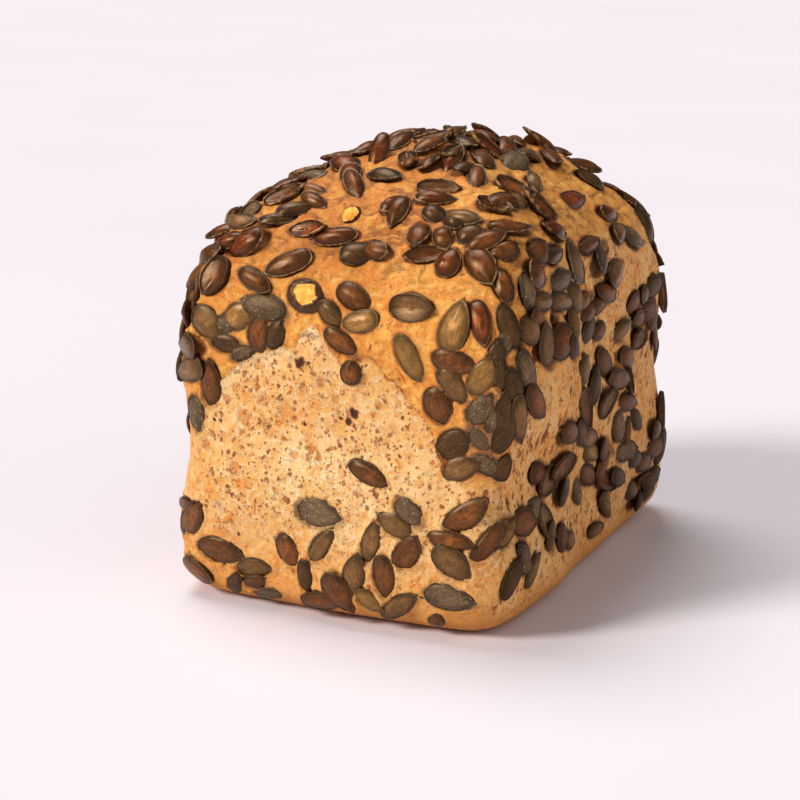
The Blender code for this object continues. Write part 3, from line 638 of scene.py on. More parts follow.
def round_the_walls(places):
    """Distance round the loaf of each place: 0 to 1 on the end face, then side, back and left."""
    flat = places[:, :2] / np.abs(places[:, :2]).max(axis=1)[:, None]
    x, y = flat.T
    around = np.where(y <= -0.9999, (x + 1) / 2, 0)
    around = np.where(x >= 0.9999, 1 + (y + 1) / 2, around)
    around = np.where((y >= 0.9999) & (x < 0.9999), 2 + (1 - x) / 2, around)
    return np.where((x <= -0.9999) & (np.abs(y) < 0.9999), 3 + (1 - y) / 2, around)


def torn_height(places):
    """Height of the torn skin's edge above the base, for each place."""
    rows = []
    for turn, (edge, size, sign) in enumerate(TORN_EDGES):
        rows += [(turn + (1 + sign * across / (size / 2)) / 2, height) for across, height in edge]
    rows.sort()
    return np.interp(round_the_walls(places), *zip(*rows), period=4)


def spot_distance(points, rows, wall, tall=1.0):
    """Distance of each point from the nearest of a wall's listed spots, in radii of that spot."""
    across = points[:, 0] if wall == "end" else points[:, 1]
    on_wall = points[:, 1] < -40 if wall == "end" else points[:, 0] > 40
    wobble = 1 + 0.3 * soft_noise(points, 1.5, 77)
    nearest = np.full(len(points), 9.0)
    for middle, height, radius in rows:
        away = np.hypot(across - middle, (points[:, 2] - height) / tall) / radius
        nearest = np.minimum(nearest, np.where(on_wall, away * wobble, 9.0))
    return nearest


def seed_prints(points, seeds):
    """Push of the crust round the seeds, how close each point is to one, and to a dusty one, from 0 to 1."""
    push, close, dusty = np.zeros((3, len(points)))
    ragged = 0.45 * soft_noise(points, 3.0, 81) + 0.4 * soft_noise(points, 1.3, 82)
    for seed in seeds:
        if seed["layer"] > PRINTING_LAYER:
            continue
        matrix, share = seed["matrix"], seed["share"]
        reach = seed["length"] / 2 + 5
        near = np.flatnonzero(np.abs(points - matrix[:3, 3]).max(axis=1) < reach)
        if not len(near):
            continue
        local = (points[near] - matrix[:3, 3]) @ matrix[:3, :3]
        along = local[:, 0] / (seed["length"] / 2)
        across = local[:, 1] / (seed["width"] / 2 * (1 - 0.3 * np.clip(along, 0, 1)))
        away = (np.hypot(along, across) - 1) * seed["width"] / 2
        frayed = 1.5 if seed["tone"] == "g" else 1.0
        torn = away + 0.1 * (1 - share) + frayed * ragged[near] * (1 - 0.75 * share)
        raised = 0.45 * (1 - share) + 0.25 * share
        beside = np.abs(local[:, 2]) < 4
        push[near] += np.where(beside, raised * ridge(torn, 0.4, 0.8) - 0.9 * ramp(torn, 0.1, -0.6), 0)
        off = np.where(beside, np.clip(away, 0, 9), np.inf)
        close[near] = np.maximum(close[near], np.exp(-off / 0.8))
        if seed["tone"] == "g":
            dusty[near] = np.maximum(dusty[near], np.exp(-off / 1.1))
    return np.clip(push, -1.4, 0.7), close, dusty


def torn_lip(points, below, clean_tear, frayed):
    """Push along the torn edge: the skin stands over the wall, or the wall's crumbly rim over the skin."""
    crumbly = 0.65 + 0.5 * soft_noise(points, 2.2, 5) + 0.5 * soft_noise(points, 0.9, 6)
    lip = 0.5 * ridge(below, -0.5, 0.8) * (clean_tear - frayed)
    lip += 1.1 * crumbly * frayed * ridge(below, 0.7, 0.7) * ramp(below, -0.3, 0.3)
    return lip - 0.8 * frayed * ramp(below, -2.6, -0.2) * ramp(below, 0.3, -0.1)


def wall_holes(points, aside):
    """Depths from 0 to 1 of the wall's craters, two sizes of pores, slits and hollows, and the share kept."""
    warp = np.stack([soft_noise(points, 1.3, 30 + axis) for axis in range(3)], axis=1)
    crooked = points + 0.45 * warp
    crooked[:, 2] *= 1 - 0.45 * aside
    dish = pores(crooked, 8.0, 40, 0.42, (1.0, 2.2))
    dish = np.maximum(dish, ramp(spot_distance(points, CRATERS, "end"), 1.2, 0.5))
    middling = pores(crooked, 3.6, 50, 0.5, (0.45, 1.15))
    small = pores(crooked, 1.9, 60, 0.55, (0.3, 0.62))
    slit = np.clip(1.6 - spot_distance(points, SLITS, "side", 3.0), 0, 1)
    hollow = ramp(spot_distance(points, HOLLOWS, "side", 1.5), 1.3, 0.5)
    many = 0.3 + 0.7 * ramp(rough_noise(points, 15.0, 66), -0.45, 0.15)
    return dish, middling, small, slit, hollow, many


def skin_lumps(points):
    """Lumps of the baked skin, and its creases from 0 to 1."""
    bent = points + 2.5 * soft_noise(points, 8, 70)[:, None]
    folds = rough_noise(bent, (6.0, 6.0, 2.6), 71)
    crinkle = np.clip(1 - np.abs(folds) * 2.2, 0, 1)
    lumps = 0.55 * rough_noise(points, 9.0, 78) - 0.55 * crinkle + 0.42 * rough_noise(points, 3.2, 73)
    return lumps, crinkle


def baking(points, on_end, aside):
    """How far the wall is baked: least in a pale patch of the end face, most low down and aside, where it is
    partly painted shade.
    """
    x, _, z = points.T
    pale_patch = np.exp(-(((x + 5) / 17) ** 2) - ((z - 37) / 15) ** 2) * on_end
    baked = 0.46 + 0.3 * ramp(x, -32, -48) + 0.15 * ramp(x, 24, 40) + 0.5 * ramp(z, 30, 10)
    baked += 0.16 * rough_noise(points, 11.0, 85) - 0.5 * pale_patch
    # the walls aside get most: partly their own baking and partly painted shade of the side that the window
    # light misses
    baked = baked + (0.9 + 0.2 * rough_noise(points, 11.0, 85) - baked) * aside
    return np.clip(baked, 0, 1)


def crust_relief(points, outward, places, seeds):
    """Push of the crust along its outward direction, and its named fields for the material."""
    x, _, z = points.T
    jag = 1.2 * soft_noise(points, 4.0, 3) + 0.8 * soft_noise(points, 1.5, 4)
    below = torn_height(places) + jag - z
    around = round_the_walls(places)
    on_end = (around < 1).astype(float) * ramp(outward[:, 1], -0.4, -0.8)
    aside = ramp(around, 0.99, 1.01) * ramp(around, 3.999, 3.98) * ramp(np.abs(outward[:, 1]), 0.9, 0.6)
    aside = np.maximum(aside, ramp(outward[:, 1], 0.5, 0.9))
    # the edge of the skin is a clean tear on the end face, where its left half is frayed, and soft elsewhere
    clean_tear = on_end * ramp(np.abs(x), 40, 34)
    frayed = clean_tear * ramp(x, 0, -6)
    softness = 5.5 - 4.9 * clean_tear
    foot = ramp(z, *FOOT_BAND)
    torn_off = ramp(below, -softness * 0.4, softness * 0.6)
    porous = torn_off * (1 - 0.6 * foot)
    skin = 1 - porous
    dome = ramp(z, *DOME_BAND)
    right = ramp(x, *GOLDEN_BAND)
    top_skin = skin * (0.35 + 0.65 * dome)

    dish, middling, small, slit, hollow, many = wall_holes(points, aside)
    ring = ramp(dish, 0.0, 0.12) * ramp(dish, 0.5, 0.2)
    grain = 0.2 * rough_noise(points, 5.0, 12) + 0.16 * rough_noise(points, 1.6, 15)
    lumps, crinkle = skin_lumps(points)
    seed_push, close, dusty = seed_prints(points, seeds)

    push = torn_lip(points, below, clean_tear, frayed)
    push -= LIP_HEIGHT * (clean_tear - frayed) * torn_off * ramp(below, 20, 3)
    push += porous * (grain + 0.3 * ring - 0.5 * dish - 0.9 * middling * many - 0.5 * small * many)
    push -= 0.5 * slit + 2.6 * hollow
    push += top_skin * lumps * (1 - 0.7 * close)
    push += skin * 0.26 * rough_noise(points, 1.8, 76) + seed_push
    push *= ramp(z, 0.0, 4.0)
    return push, {
        "porous": porous,
        "pit": np.clip(np.maximum(middling, 0.75 * small) * porous * many, 0, 1),
        "close": close,
        "dusty": dusty,
        "calm": np.maximum(ramp(x, -30, -44), ramp(z, 34, 20)) * on_end,
        # browner towards the top but not on the right, where it turns golden: partly the crust's own colour
        # and partly painted light where the window light does not reach
        "dome": dome * (1 - right),
        "golden": dome * right,
        "foot": foot,
        # the skin's creases, which the material darkens as painted shade
        "crinkle": top_skin * crinkle,
        "baked": baking(points, on_end, aside),
        "aside": aside,
        "dish": dish,
        "ring": ring * (0.3 + 0.7 * ramp(rough_noise(points, 6.0, 86), -0.5, 0.3)),
        # slits and hollows, which the material darkens as painted shade
        "slit": np.maximum(slit, hollow * 1.5),
        "burnt": np.clip(1.6 - spot_distance(points, BURNT_SPOTS, "end"), 0, 1),
        "orange": np.clip(1.6 - spot_distance(points, ORANGE_SPOTS, "end"), 0, 1),
        # a line just under the clean torn edge: partly the browned edge and partly painted shadow of the lip
        "edge": ridge(below, 0.7, 0.6) * (clean_tear - frayed),
        "frayed": frayed * ramp(below, -0.3, 0.3) * ramp(below, 4.0, 1.0),
    }


def make_crust(seeds):
    """The whole crust, as a cube of fine faces blown up to the loaf's form."""
    form = crust_grid()
    places = np.array([vertex.co for vertex in form.verts])
    places = np.sin(places * GRID_BEND) / math.sin(GRID_BEND)
    points, outward = crust(places)
    push, fields = crust_relief(points, outward, places, seeds)
    points = points + outward * push[:, None]
    points[:, 2] = np.maximum(points[:, 2], 0)
    for vertex, point in zip(form.verts, points * MM):
        vertex.co = point
    bmesh.ops.triangulate(form, faces=[face for face in form.faces if len(face.verts) > 4])
    mesh = bpy.data.meshes.new("crust")
    form.to_mesh(mesh)
    form.free()
    return add_piece("crust", mesh, fields)


# ---- meshes of the scattered things


def add_object(name, mesh):
    piece = bpy.data.objects.new(name, mesh)
    bpy.context.scene.collection.objects.link(piece)
    return piece


def add_piece(name, mesh, fields):
    """A smooth object of a mesh, with named values at its points for the material."""
    for field_name, values in fields.items():
        vector = values.ndim == 2
        field = mesh.attributes.new(field_name, "FLOAT_VECTOR" if vector else "FLOAT", "POINT")
        field.data.foreach_set("vector" if vector else "value", values.astype(np.float32).ravel())
    mesh.shade_smooth()
    return add_object(name, mesh)


def seed_disc(rings):
    """Points of a seed's flat disc as (share of the way to its outline, angle), the middle first."""
    steps = np.arange(SEED_SIDES) * math.tau / SEED_SIDES
    angles = steps - 0.3 * np.sin(steps)
    rows = [(0.0, 0.0)] + [(share, angle) for share in rings for angle in angles]
    return np.array(rows).T


def ring_faces(rings, sides, first, flip=False):
    """Faces of a disc whose middle is point first, with its rings after it."""
    faces = [(first, first + 1 + side, first + 1 + (side + 1) % sides) for side in range(sides)]
    for ring in range(rings - 1):
        faces += belt_faces(first + 1 + ring * sides, first + 1 + (ring + 1) * sides, sides)
    return [face[::-1] if flip else face for face in faces]


def belt_faces(inner, outer, sides):
    """Faces between two rings of points, given the number of the first point of each."""
    afters = [(side + 1) % sides for side in range(sides)]
    return [(inner + side, outer + side, outer + after, inner + after) for side, after in enumerate(afters)]


def seed_height(share, along, across, plump, middle_ridge, cupped, flat):
    """Height of a seed's upper face, in half thicknesses: a crown inside a groove and a raised rim."""
    crown = np.clip(1 - (share / 0.93) ** (2 + flat), 0, 1) ** 0.85 * (1 - 0.18 * along)
    crown *= 1 - 0.2 * flat
    middle = ridge(across, 0, 0.2) * np.clip(1 - share**2, 0, 1)
    rim = ridge(share, 0.955, 0.028)
    if cupped:
        height = 0.1 + 0.35 * share**2 - 0.25 * middle + 0.38 * rim
    else:
        height = 0.1 + plump * crown + middle_ridge * middle + 0.22 * rim
    return np.where(share > 0.99, 0.0, height)


def whole_seed(seed, rng):
    """Points of a seed in its own frame, its tip at +X, and their fields. Rim is 1 at its outline."""
    cupped = rng.random() < CUPPED_SEEDS * seed["share"]
    bow = rng.gauss(0, 0.35)
    twist = rng.gauss(0, 0.1)
    point = rng.uniform(0.18, 0.48)
    blunt = rng.uniform(-0.04, 0.08)
    plump = rng.uniform(0.85, 1.15)
    middle_ridge = rng.uniform(-0.12, 0.16)
    wrinkled = rng.uniform(0.05, 0.16)
    shift = np.array([rng.uniform(0, 900) for _ in range(3)])
    discs = []
    for rings, upper in ((SEED_RINGS, True), (SEED_UNDER_RINGS[::-1], False)):
        share, angle = seed_disc(rings)
        ahead = np.clip(np.cos(angle), 0, 1)
        full = 1 + 0.06 * np.sin(2 * angle) ** 2
        nib = ridge(np.minimum(angle, math.tau - angle), 0, 0.2) * share**4
        along = share * full * np.cos(angle) + SEED_NIB * nib
        across = share * full * np.sin(angle) * (1 - point * ahead**2) * (1 - blunt * (1 - ahead))
        if upper:
            height = seed_height(share, along, across, plump, middle_ridge, cupped, seed["flat"])
        else:
            height = -SEED_BELLY * (1 - share**2.2) ** 0.7
        discs.append(np.stack([along, across, height, share], axis=1))
    along, across, height, share = np.concatenate(discs).T
    points = np.stack([along, across, height], axis=1) * half_size(seed)
    inside = np.clip((0.9 - share) / 0.3, 0, 1)
    points[:, 2] += rough_noise(points * (1, 1, 0) + shift, (6.0, 1.1, 4.0), 90) * wrinkled * inside
    uneven = np.stack([along * 1.5, across * 1.5, np.full(len(along), shift[0])], axis=1)
    points[:, :2] *= (1 + 0.045 * soft_noise(uneven, 1, 91))[:, None]
    points[:, 2] += bow * (along**2 - 0.3) * 0.5 + twist * along * points[:, 1]
    same = np.ones(len(points))
    return points, {
        "own": points + shift, "rim": share, "shade": same * rng.random(),
        "proud": same * seed["share"], "gloss": same * seed["gloss"],
    }


def whole_seed_faces():
    """Faces of the upper and the under disc of a seed, and of the belt that joins them."""
    count = 1 + len(SEED_RINGS) * SEED_SIDES
    last_under_ring = count + 1 + (len(SEED_UNDER_RINGS) - 1) * SEED_SIDES
    faces = ring_faces(len(SEED_RINGS), SEED_SIDES, 0)
    faces += ring_faces(len(SEED_UNDER_RINGS), SEED_SIDES, count, True)
    return faces + belt_faces(count - SEED_SIDES, last_under_ring, SEED_SIDES)


def split_seed(seed):
    """Points of a seed whose hull has burst, a ragged ring round a lower kernel. Rim is 1 on the hull."""
    shares = [(ring + 1) / SPLIT_RINGS for ring in range(SPLIT_RINGS)]
    share = np.append(0, np.repeat(shares, SPLIT_SIDES))
    angle = np.append(0, np.tile(np.arange(SPLIT_SIDES) * math.tau / SPLIT_SIDES, SPLIT_RINGS))
    ring_place = np.stack([np.cos(angle) * 1.1, np.sin(angle) * 1.1, 0 * angle], axis=1)
    ragged = 0.24 * rough_noise(ring_place + seed["length"], 1.0, 97)
    burst = (0.6 if seed["length"] > 8 else 0.9) + ragged - 0.16 * np.cos(angle + 0.6)
    hull = ramp(share, burst - 0.04, burst + 0.04)
    low = np.where(share > 0.99, -0.4, 0)
    height = 0.75 * (1 - share**2.5) + hull * (0.5 - 0.25 * share) + low - 0.25
    height += 0.12 * rough_noise(ring_place * share[:, None] * 2, 0.8, 98)
    points = np.stack([share * np.cos(angle), share * np.sin(angle), height], axis=1) * half_size(seed)
    below = points[-SPLIT_SIDES:] * (0.9, 0.9, 1) - (0, 0, 1.1)
    points = np.concatenate([points, below, [[0, 0, below[0][2]]]])
    return points, {"own": points, "rim": np.append(hull, np.ones(SPLIT_SIDES + 1))}


def split_seed_faces():
    """Faces of a disc with one more ring that closes it below."""
    last = 1 + (SPLIT_RINGS + 1) * SPLIT_SIDES
    under = last - SPLIT_SIDES
    fan = [(under + side, last, under + (side + 1) % SPLIT_SIDES) for side in range(SPLIT_SIDES)]
    return ring_faces(SPLIT_RINGS + 1, SPLIT_SIDES, 0) + fan


def half_size(seed):
    """Half a seed's length, width and thickness."""
    return seed["length"] / 2, seed["width"] / 2, seed["thickness"] / 2


def join_seeds(name, seeds, shapes, faces_of_one):
    """One mesh of many seeds, laid where they belong. A shape is the seed's own points and their fields."""
    points, faces = [], []
    for number, (seed, (own, _)) in enumerate(zip(seeds, shapes)):
        points.append(own @ seed["matrix"][:3, :3].T + seed["matrix"][:3, 3])
        faces += [tuple(number * len(own) + index for index in face) for face in faces_of_one]
    points = np.concatenate(points)
    points[:, 2] = np.maximum(points[:, 2], OVER_FLOOR)
    mesh = bpy.data.meshes.new(name)
    mesh.from_pydata(points * MM, [], faces)
    fields = {key: np.concatenate([fields[key] for _, fields in shapes]) for key in shapes[0][1]}
    return add_piece(name, mesh, fields)


def shred_strip(wall, across, height, turn, length, bend, width):
    """Points of a flattened strip of carrot that lies along an arc on the crust."""
    point, outward = crust(np.array([place_on_wall(across, height, wall)]))
    outward = Vector(outward[0])
    right, up = (
        (axis - axis.dot(outward) * outward).normalized()
        for axis in (Vector(((1, 0, 0), (0, 1, 0))[WALLS[wall][0]]), Vector((0, 0, 1)))
    )
    heading = math.radians(turn - bend / 2)
    u, v = 0.0, 0.0
    path = []
    for _ in range(SHRED_STEPS + 1):
        path.append((u, v, heading))
        u += math.cos(heading) * length / SHRED_STEPS
        v += math.sin(heading) * length / SHRED_STEPS
        heading += math.radians(bend) / SHRED_STEPS
    middle = np.mean([(row[0], row[1]) for row in path], axis=0)
    points = []
    for step, (u, v, heading) in enumerate(path):
        taper = math.sin(math.pi * (0.06 + 0.88 * step / SHRED_STEPS)) ** 0.4
        centre = Vector(point[0]) + right * (u - middle[0]) + up * (v - middle[1])
        sideways = -right * math.sin(heading) + up * math.cos(heading)
        for side in range(SHRED_SIDES):
            angle = math.tau * side / SHRED_SIDES
            wide = math.cos(angle) * width * 0.42 * taper
            thick = math.sin(angle) * 0.26 * taper
            points.append(tuple(centre + sideways * wide + outward * (thick + 0.02)))
    return points


def make_shreds():
    """All carrot shreds as one mesh of closed strips."""
    points, faces = [], []
    for wall, row in [(wall, row) for wall, rows in SHREDS.items() for row in rows]:
        first = len(points)
        points += shred_strip(wall, *row)
        for ring in range(first, len(points) - SHRED_SIDES, SHRED_SIDES):
            for side in range(SHRED_SIDES):
                after = (side + 1) % SHRED_SIDES
                outer = ring + SHRED_SIDES
                faces.append((ring + side, ring + after, outer + after, outer + side))
        faces.append(tuple(range(first, first + SHRED_SIDES))[::-1])
        faces.append(tuple(range(len(points) - SHRED_SIDES, len(points))))
    mesh = bpy.data.meshes.new("carrot_shreds")
    mesh.from_pydata(np.array(points) * MM, [], faces)
    form = bmesh.new()
    form.from_mesh(mesh)
    bmesh.ops.recalc_face_normals(form, faces=form.faces[:])  # some walls' strips start inside out
    form.to_mesh(mesh)
    form.free()
    return add_piece("carrot_shreds", mesh, {})


# ---- materials


class Nodes:
    """Short calls for building a material's node tree. A value is a number, a tuple or a node's output."""

    def __init__(self, name):
        self.material = bpy.data.materials.new(name)
        self.material.use_nodes = True
        self.tree = self.material.node_tree

    def fill(self, node, inputs):
        """Gives values to inputs of a node, each named with _ for a space, or numbered."""
        for key, value in inputs.items():
            socket = node.inputs[key.replace("_", " ") if isinstance(key, str) else key]
            if isinstance(value, bpy.types.NodeSocket):
                self.tree.links.new(value, socket)
            else:
                socket.default_value = value

    def add(self, kind, settings=(), numbered=(), **named):
        node = self.tree.nodes.new(kind)
        for key, value in dict(settings).items():
            setattr(node, key, value)
        self.fill(node, {**dict(numbered), **named})
        return node

    def field(self, name, output="Fac"):
        return self.add("ShaderNodeAttribute", {"attribute_name": name}).outputs[output]

    def place(self):
        return self.add("ShaderNodeTexCoord").outputs["Object"]

    def maths(self, operation, first, second, clamp=False):
        settings = {"operation": operation, "use_clamp": clamp}
        return self.add("ShaderNodeMath", settings, {0: first, 1: second}).outputs[0]

    def times(self, first, second):
        return self.maths("MULTIPLY", first, second)

    def vector_maths(self, operation, first, second, second_input=1):
        inputs = {0: first, second_input: second}
        return self.add("ShaderNodeVectorMath", {"operation": operation}, inputs).outputs[0]

    def warped(self, vector, scale, amount):
        """The vector moved about by noise, so that what is drawn with it has crooked outlines."""
        noise = self.add("ShaderNodeTexNoise", Vector=vector, Scale=scale, Detail=2.0).outputs["Color"]
        centred = self.vector_maths("SUBTRACT", noise, (0.5, 0.5, 0.5))
        return self.vector_maths("ADD", vector, self.vector_maths("SCALE", centred, amount, "Scale"))

    def shortened(self, vector, factor):
        """The vector with its height scaled by a factor, so that what is drawn with it is taller."""
        scale = self.add("ShaderNodeCombineXYZ", X=1.0, Y=1.0, Z=factor).outputs[0]
        return self.vector_maths("MULTIPLY", vector, scale)

    def noise(self, vector, scale, detail=4.0, roughness=0.6, distortion=0.0):
        inputs = {"Scale": scale, "Detail": detail, "Roughness": roughness, "Distortion": distortion}
        return self.add("ShaderNodeTexNoise", Vector=vector, **inputs).outputs["Fac"]

    def cells(self, vector, scale):
        return self.add("ShaderNodeTexVoronoi", {"feature": "F1"}, Vector=vector, Scale=scale).outputs

    def pores(self, vector, scale, share, largest, uneven):
        """How far inside a pore a place is, in cells. A share of the cells has one, of any size."""
        cells = self.cells(vector, scale)
        chance = self.add("ShaderNodeSeparateColor", Color=cells["Color"]).outputs[0]
        radius = self.remap(chance, 1 - share, 1.0, -0.15, largest)
        return self.maths("SUBTRACT", radius, self.maths("ADD", cells["Distance"], uneven))

    def remap(self, value, low, high, to_low=0.0, to_high=1.0):
        """A smooth step from to_low, where the value is low, to to_high. Low may be the larger one."""
        inputs = {"From_Min": low, "From_Max": high, "To_Min": to_low, "To_Max": to_high}
        settings = {"interpolation_type": "SMOOTHSTEP"}
        return self.add("ShaderNodeMapRange", settings, Value=value, **inputs).outputs["Result"]

    def part(self, value, low, high, most):
        """How much of a layer shows: none where the value is low, and the most where it is high."""
        return self.remap(value, low, high, 0.0, most)

    def mix(self, factor, first, second, blend="MIX"):
        settings = {"data_type": "RGBA", "blend_type": blend}
        inputs = {0: factor, 6: colour(first), 7: colour(second)}
        return self.add("ShaderNodeMix", settings, inputs).outputs[2]

    def layered(self, below, *layers):
        """A colour with layers over it, each given as (how much of it shows, its colour)."""
        for factor, above in layers:
            below = self.mix(factor, below, above)
        return below

    def finish(self, base, roughness, bumps, **others):
        """The material. Its bumps lie on one another, each given as (height, depth, strength)."""
        over = {}
        for height, depth, strength in bumps:
            bump = self.add("ShaderNodeBump", Height=height, Distance=depth, Strength=strength, **over)
            over = {"Normal": bump.outputs["Normal"]}
        inputs = {"Base Color": base, "Roughness": roughness, **over, **others}
        self.fill(self.tree.nodes["Principled BSDF"], inputs)
        return self.material


def colour(value):
    """A socket as it is, or an sRGB colour from 0 to 255 as linear numbers."""
    if isinstance(value, bpy.types.NodeSocket):
        return value
    shares = [part / 255 for part in value]
    linear = [part / 12.92 if part <= 0.04045 else ((part + 0.055) / 1.055) ** 2.4 for part in shares]
    return (*linear, 1.0)


def skin_colour(m, place, noises, uneven):
    """Golden skin with painted shade in its wrinkles, browner towards the top, and lighter golden on the
    dome's right side, partly painted light.
    """
    broad, blotch, spotted, _ = noises
    # painted shade: darker brown in the skin's creases
    crease_shade = m.times(m.remap(m.field("crinkle"), 0.35, 0.95), m.remap(blotch, 0.35, 0.6))
    pore = m.pores(m.warped(place, 700.0, 0.0012), 420.0, 0.4, 0.26, uneven)
    return m.layered(
        m.mix(m.remap(blotch, 0.36, 0.64), (234, 142, 48), (252, 184, 82)),
        (m.part(broad, 0.5, 0.74, 0.4), (218, 134, 48)),
        (m.part(spotted, 0.54, 0.66, 0.75), (184, 96, 32)),
        (m.part(spotted, 0.46, 0.36, 0.7), (255, 208, 118)),
        (m.part(m.times(m.field("dome"), broad), 0.1, 0.6, 0.5), (204, 116, 40)),
        # lighter golden on the dome's right side: partly its own colour and partly painted light where the
        # window light does not reach
        (m.times(m.field("golden"), 0.4), (255, 182, 84)),
        (m.times(crease_shade, 0.8), (134, 66, 20)),
        (m.part(m.field("close"), 0.12, 0.75, 0.5), (204, 118, 42)),
        (m.part(pore, 0.0, 0.12, 0.7), (160, 84, 26)),
    )


def wall_colour(m, place, noises, uneven):
    """Porous wall: crooked pores of three sizes between paler rims. Returns also their heights for bumps."""
    broad, blotch, spotted, _ = noises
    tall = m.shortened(place, m.remap(m.field("aside"), 0.0, 1.0, 1.0, 0.5))
    crooked = m.warped(tall, 900.0, 0.0011)
    wall = m.layered(
        m.mix(m.remap(broad, 0.36, 0.64), (252, 213, 146), (243, 187, 104)),
        (m.part(blotch, 0.44, 0.66, 0.7), (228, 154, 68)),
        (m.part(spotted, 0.48, 0.64, 0.75), (255, 234, 192)),
        (m.part(m.field("dish"), 0.2, 0.8, 0.6), (224, 150, 70)),
    )
    crowded = m.remap(m.noise(place, 150.0, 4.0, 0.6), 0.38, 0.6, 0.4, 1.0)
    crowded = m.times(crowded, m.remap(m.field("calm"), 0.0, 1.0, 1.0, 0.3))
    heights = []
    for scale, share, largest, darkest in WALL_PORES:
        inside = m.pores(crooked, scale, share, largest, uneven)
        rim = m.times(m.remap(inside, -0.12, -0.03), m.remap(inside, 0.05, 0.0))
        inside = m.times(m.remap(inside, -0.01, 0.2), crowded)
        wall = m.layered(
            wall,
            (m.times(rim, 0.5), (255, 232, 186)),
            (m.part(inside, 0.04, 0.4, 0.85), (204, 118, 48)),
            (m.part(inside, 0.4, 0.95, darkest), (136, 68, 26)),
        )
        heights.append((m.maths("SUBTRACT", m.times(rim, 0.25), inside), 0.2 / scale))
    pit = m.field("pit")
    wall = m.layered(
        wall,
        (m.times(m.field("ring"), 0.9), (255, 240, 206)),
        (m.part(pit, 0.1, 0.5, 0.6), (220, 148, 72)),
        (m.part(pit, 0.45, 0.95, 0.75), (168, 92, 38)),
    )
    # the baked tint; on the walls aside it is partly painted shade
    baked = m.mix(m.field("aside"), (240, 208, 168), (244, 218, 188))
    return m.mix(m.field("baked"), wall, baked, "MULTIPLY"), heights


def marked_colour(m, place, noises, base, porous):
    """The crust's colour with its foot, the torn edge's line with painted shadow under the lip, caramel and
    painted shade round the seeds, painted shade in the crevices aside and in slits and hollows, and burnt and
    orange marks.
    """
    _, blotch, spotted, _ = noises
    close = m.field("close")
    ragged = m.remap(spotted, 0.3, 0.7, -0.3, 0.3)
    orange, burnt, slit = (m.maths("ADD", m.field(name), ragged) for name in ("orange", "burnt", "slit"))
    edge = m.times(m.field("edge"), m.remap(blotch, 0.38, 0.56, 0.35, 1.0))
    crumbs = m.times(m.field("frayed"), m.remap(spotted, 0.62, 0.42, 0.1, 0.75))
    # dark brown round the seeds where they meet the crust: partly caramel and partly painted shade
    caramel_and_painted_shade = m.times(m.remap(close, 0.66, 1.0), m.remap(porous, 0.0, 1.0, 0.7, 0.35))
    smear = m.times(m.remap(m.field("dusty"), 0.3, 0.95), m.remap(spotted, 0.38, 0.6))
    return m.layered(
        base,
        (m.times(m.field("foot"), 0.5), (204, 128, 50)),
        # the line under the torn edge, orange-brown to dark: partly its own colour and partly painted shadow
        # under the lip
        (edge, m.mix(m.remap(spotted, 0.4, 0.6), (204, 104, 24), (110, 52, 16))),
        (crumbs, (255, 226, 174)),
        (caramel_and_painted_shade, (122, 66, 26)),
        # painted shade: dark brown in the crevices round the seeds on the walls aside
        (m.times(m.part(close, 0.3, 0.9, 0.6), m.field("aside")), (92, 50, 22)),
        (m.times(smear, 0.6), (120, 92, 60)),
        (m.part(orange, 0.3, 1.0, 0.5), (236, 146, 46)),
        (m.part(burnt, 0.25, 0.5, 0.75), (150, 76, 26)),
        (m.part(burnt, 0.5, 0.7, 0.92), (60, 30, 16)),
        # painted shade: dark brown, then near black, inside the slits and hollows
        (m.part(slit, 0.3, 0.9, 0.85), (112, 52, 20)),
        (m.part(slit, 0.95, 1.5, 0.9), (30, 15, 9)),
        (m.times(m.remap(m.cells(place, 190.0)["Distance"], 0.06, 0.03), 0.6), (110, 58, 22)),
    )


def crust_material():
    """Golden skin where the field porous is 0, and the pale porous wall where it is 1."""
    m = Nodes("bread_crust")
    place, porous = m.place(), m.field("porous")
    noises = [m.noise(place, *look) for look in CRUST_NOISES]
    uneven = m.remap(m.noise(place, 470.0, 3.0, 0.6), 0.35, 0.65, -0.12, 0.12)
    wall, heights = wall_colour(m, place, noises, uneven)
    base = m.mix(porous, skin_colour(m, place, noises, uneven), wall)
    lumpy = m.times(m.noise(place, 380.0, 6.0, 0.68, 0.6), m.remap(porous, 1.0, 0.0))
    _, blotch, spotted, grain = noises
    bumps = [(m.times(height, porous), depth, 1.0) for height, depth in heights]
    bumps += [(blotch, 0.0016, 0.6), (spotted, 0.0009, 0.8), (lumpy, 0.0013, 0.7), (grain, 0.00025, 0.7)]
    base = marked_colour(m, place, noises, base, porous)
    return m.finish(base, m.remap(porous, 0.0, 1.0, 0.5, 0.85), bumps, Specular_IOR_Level=0.4)


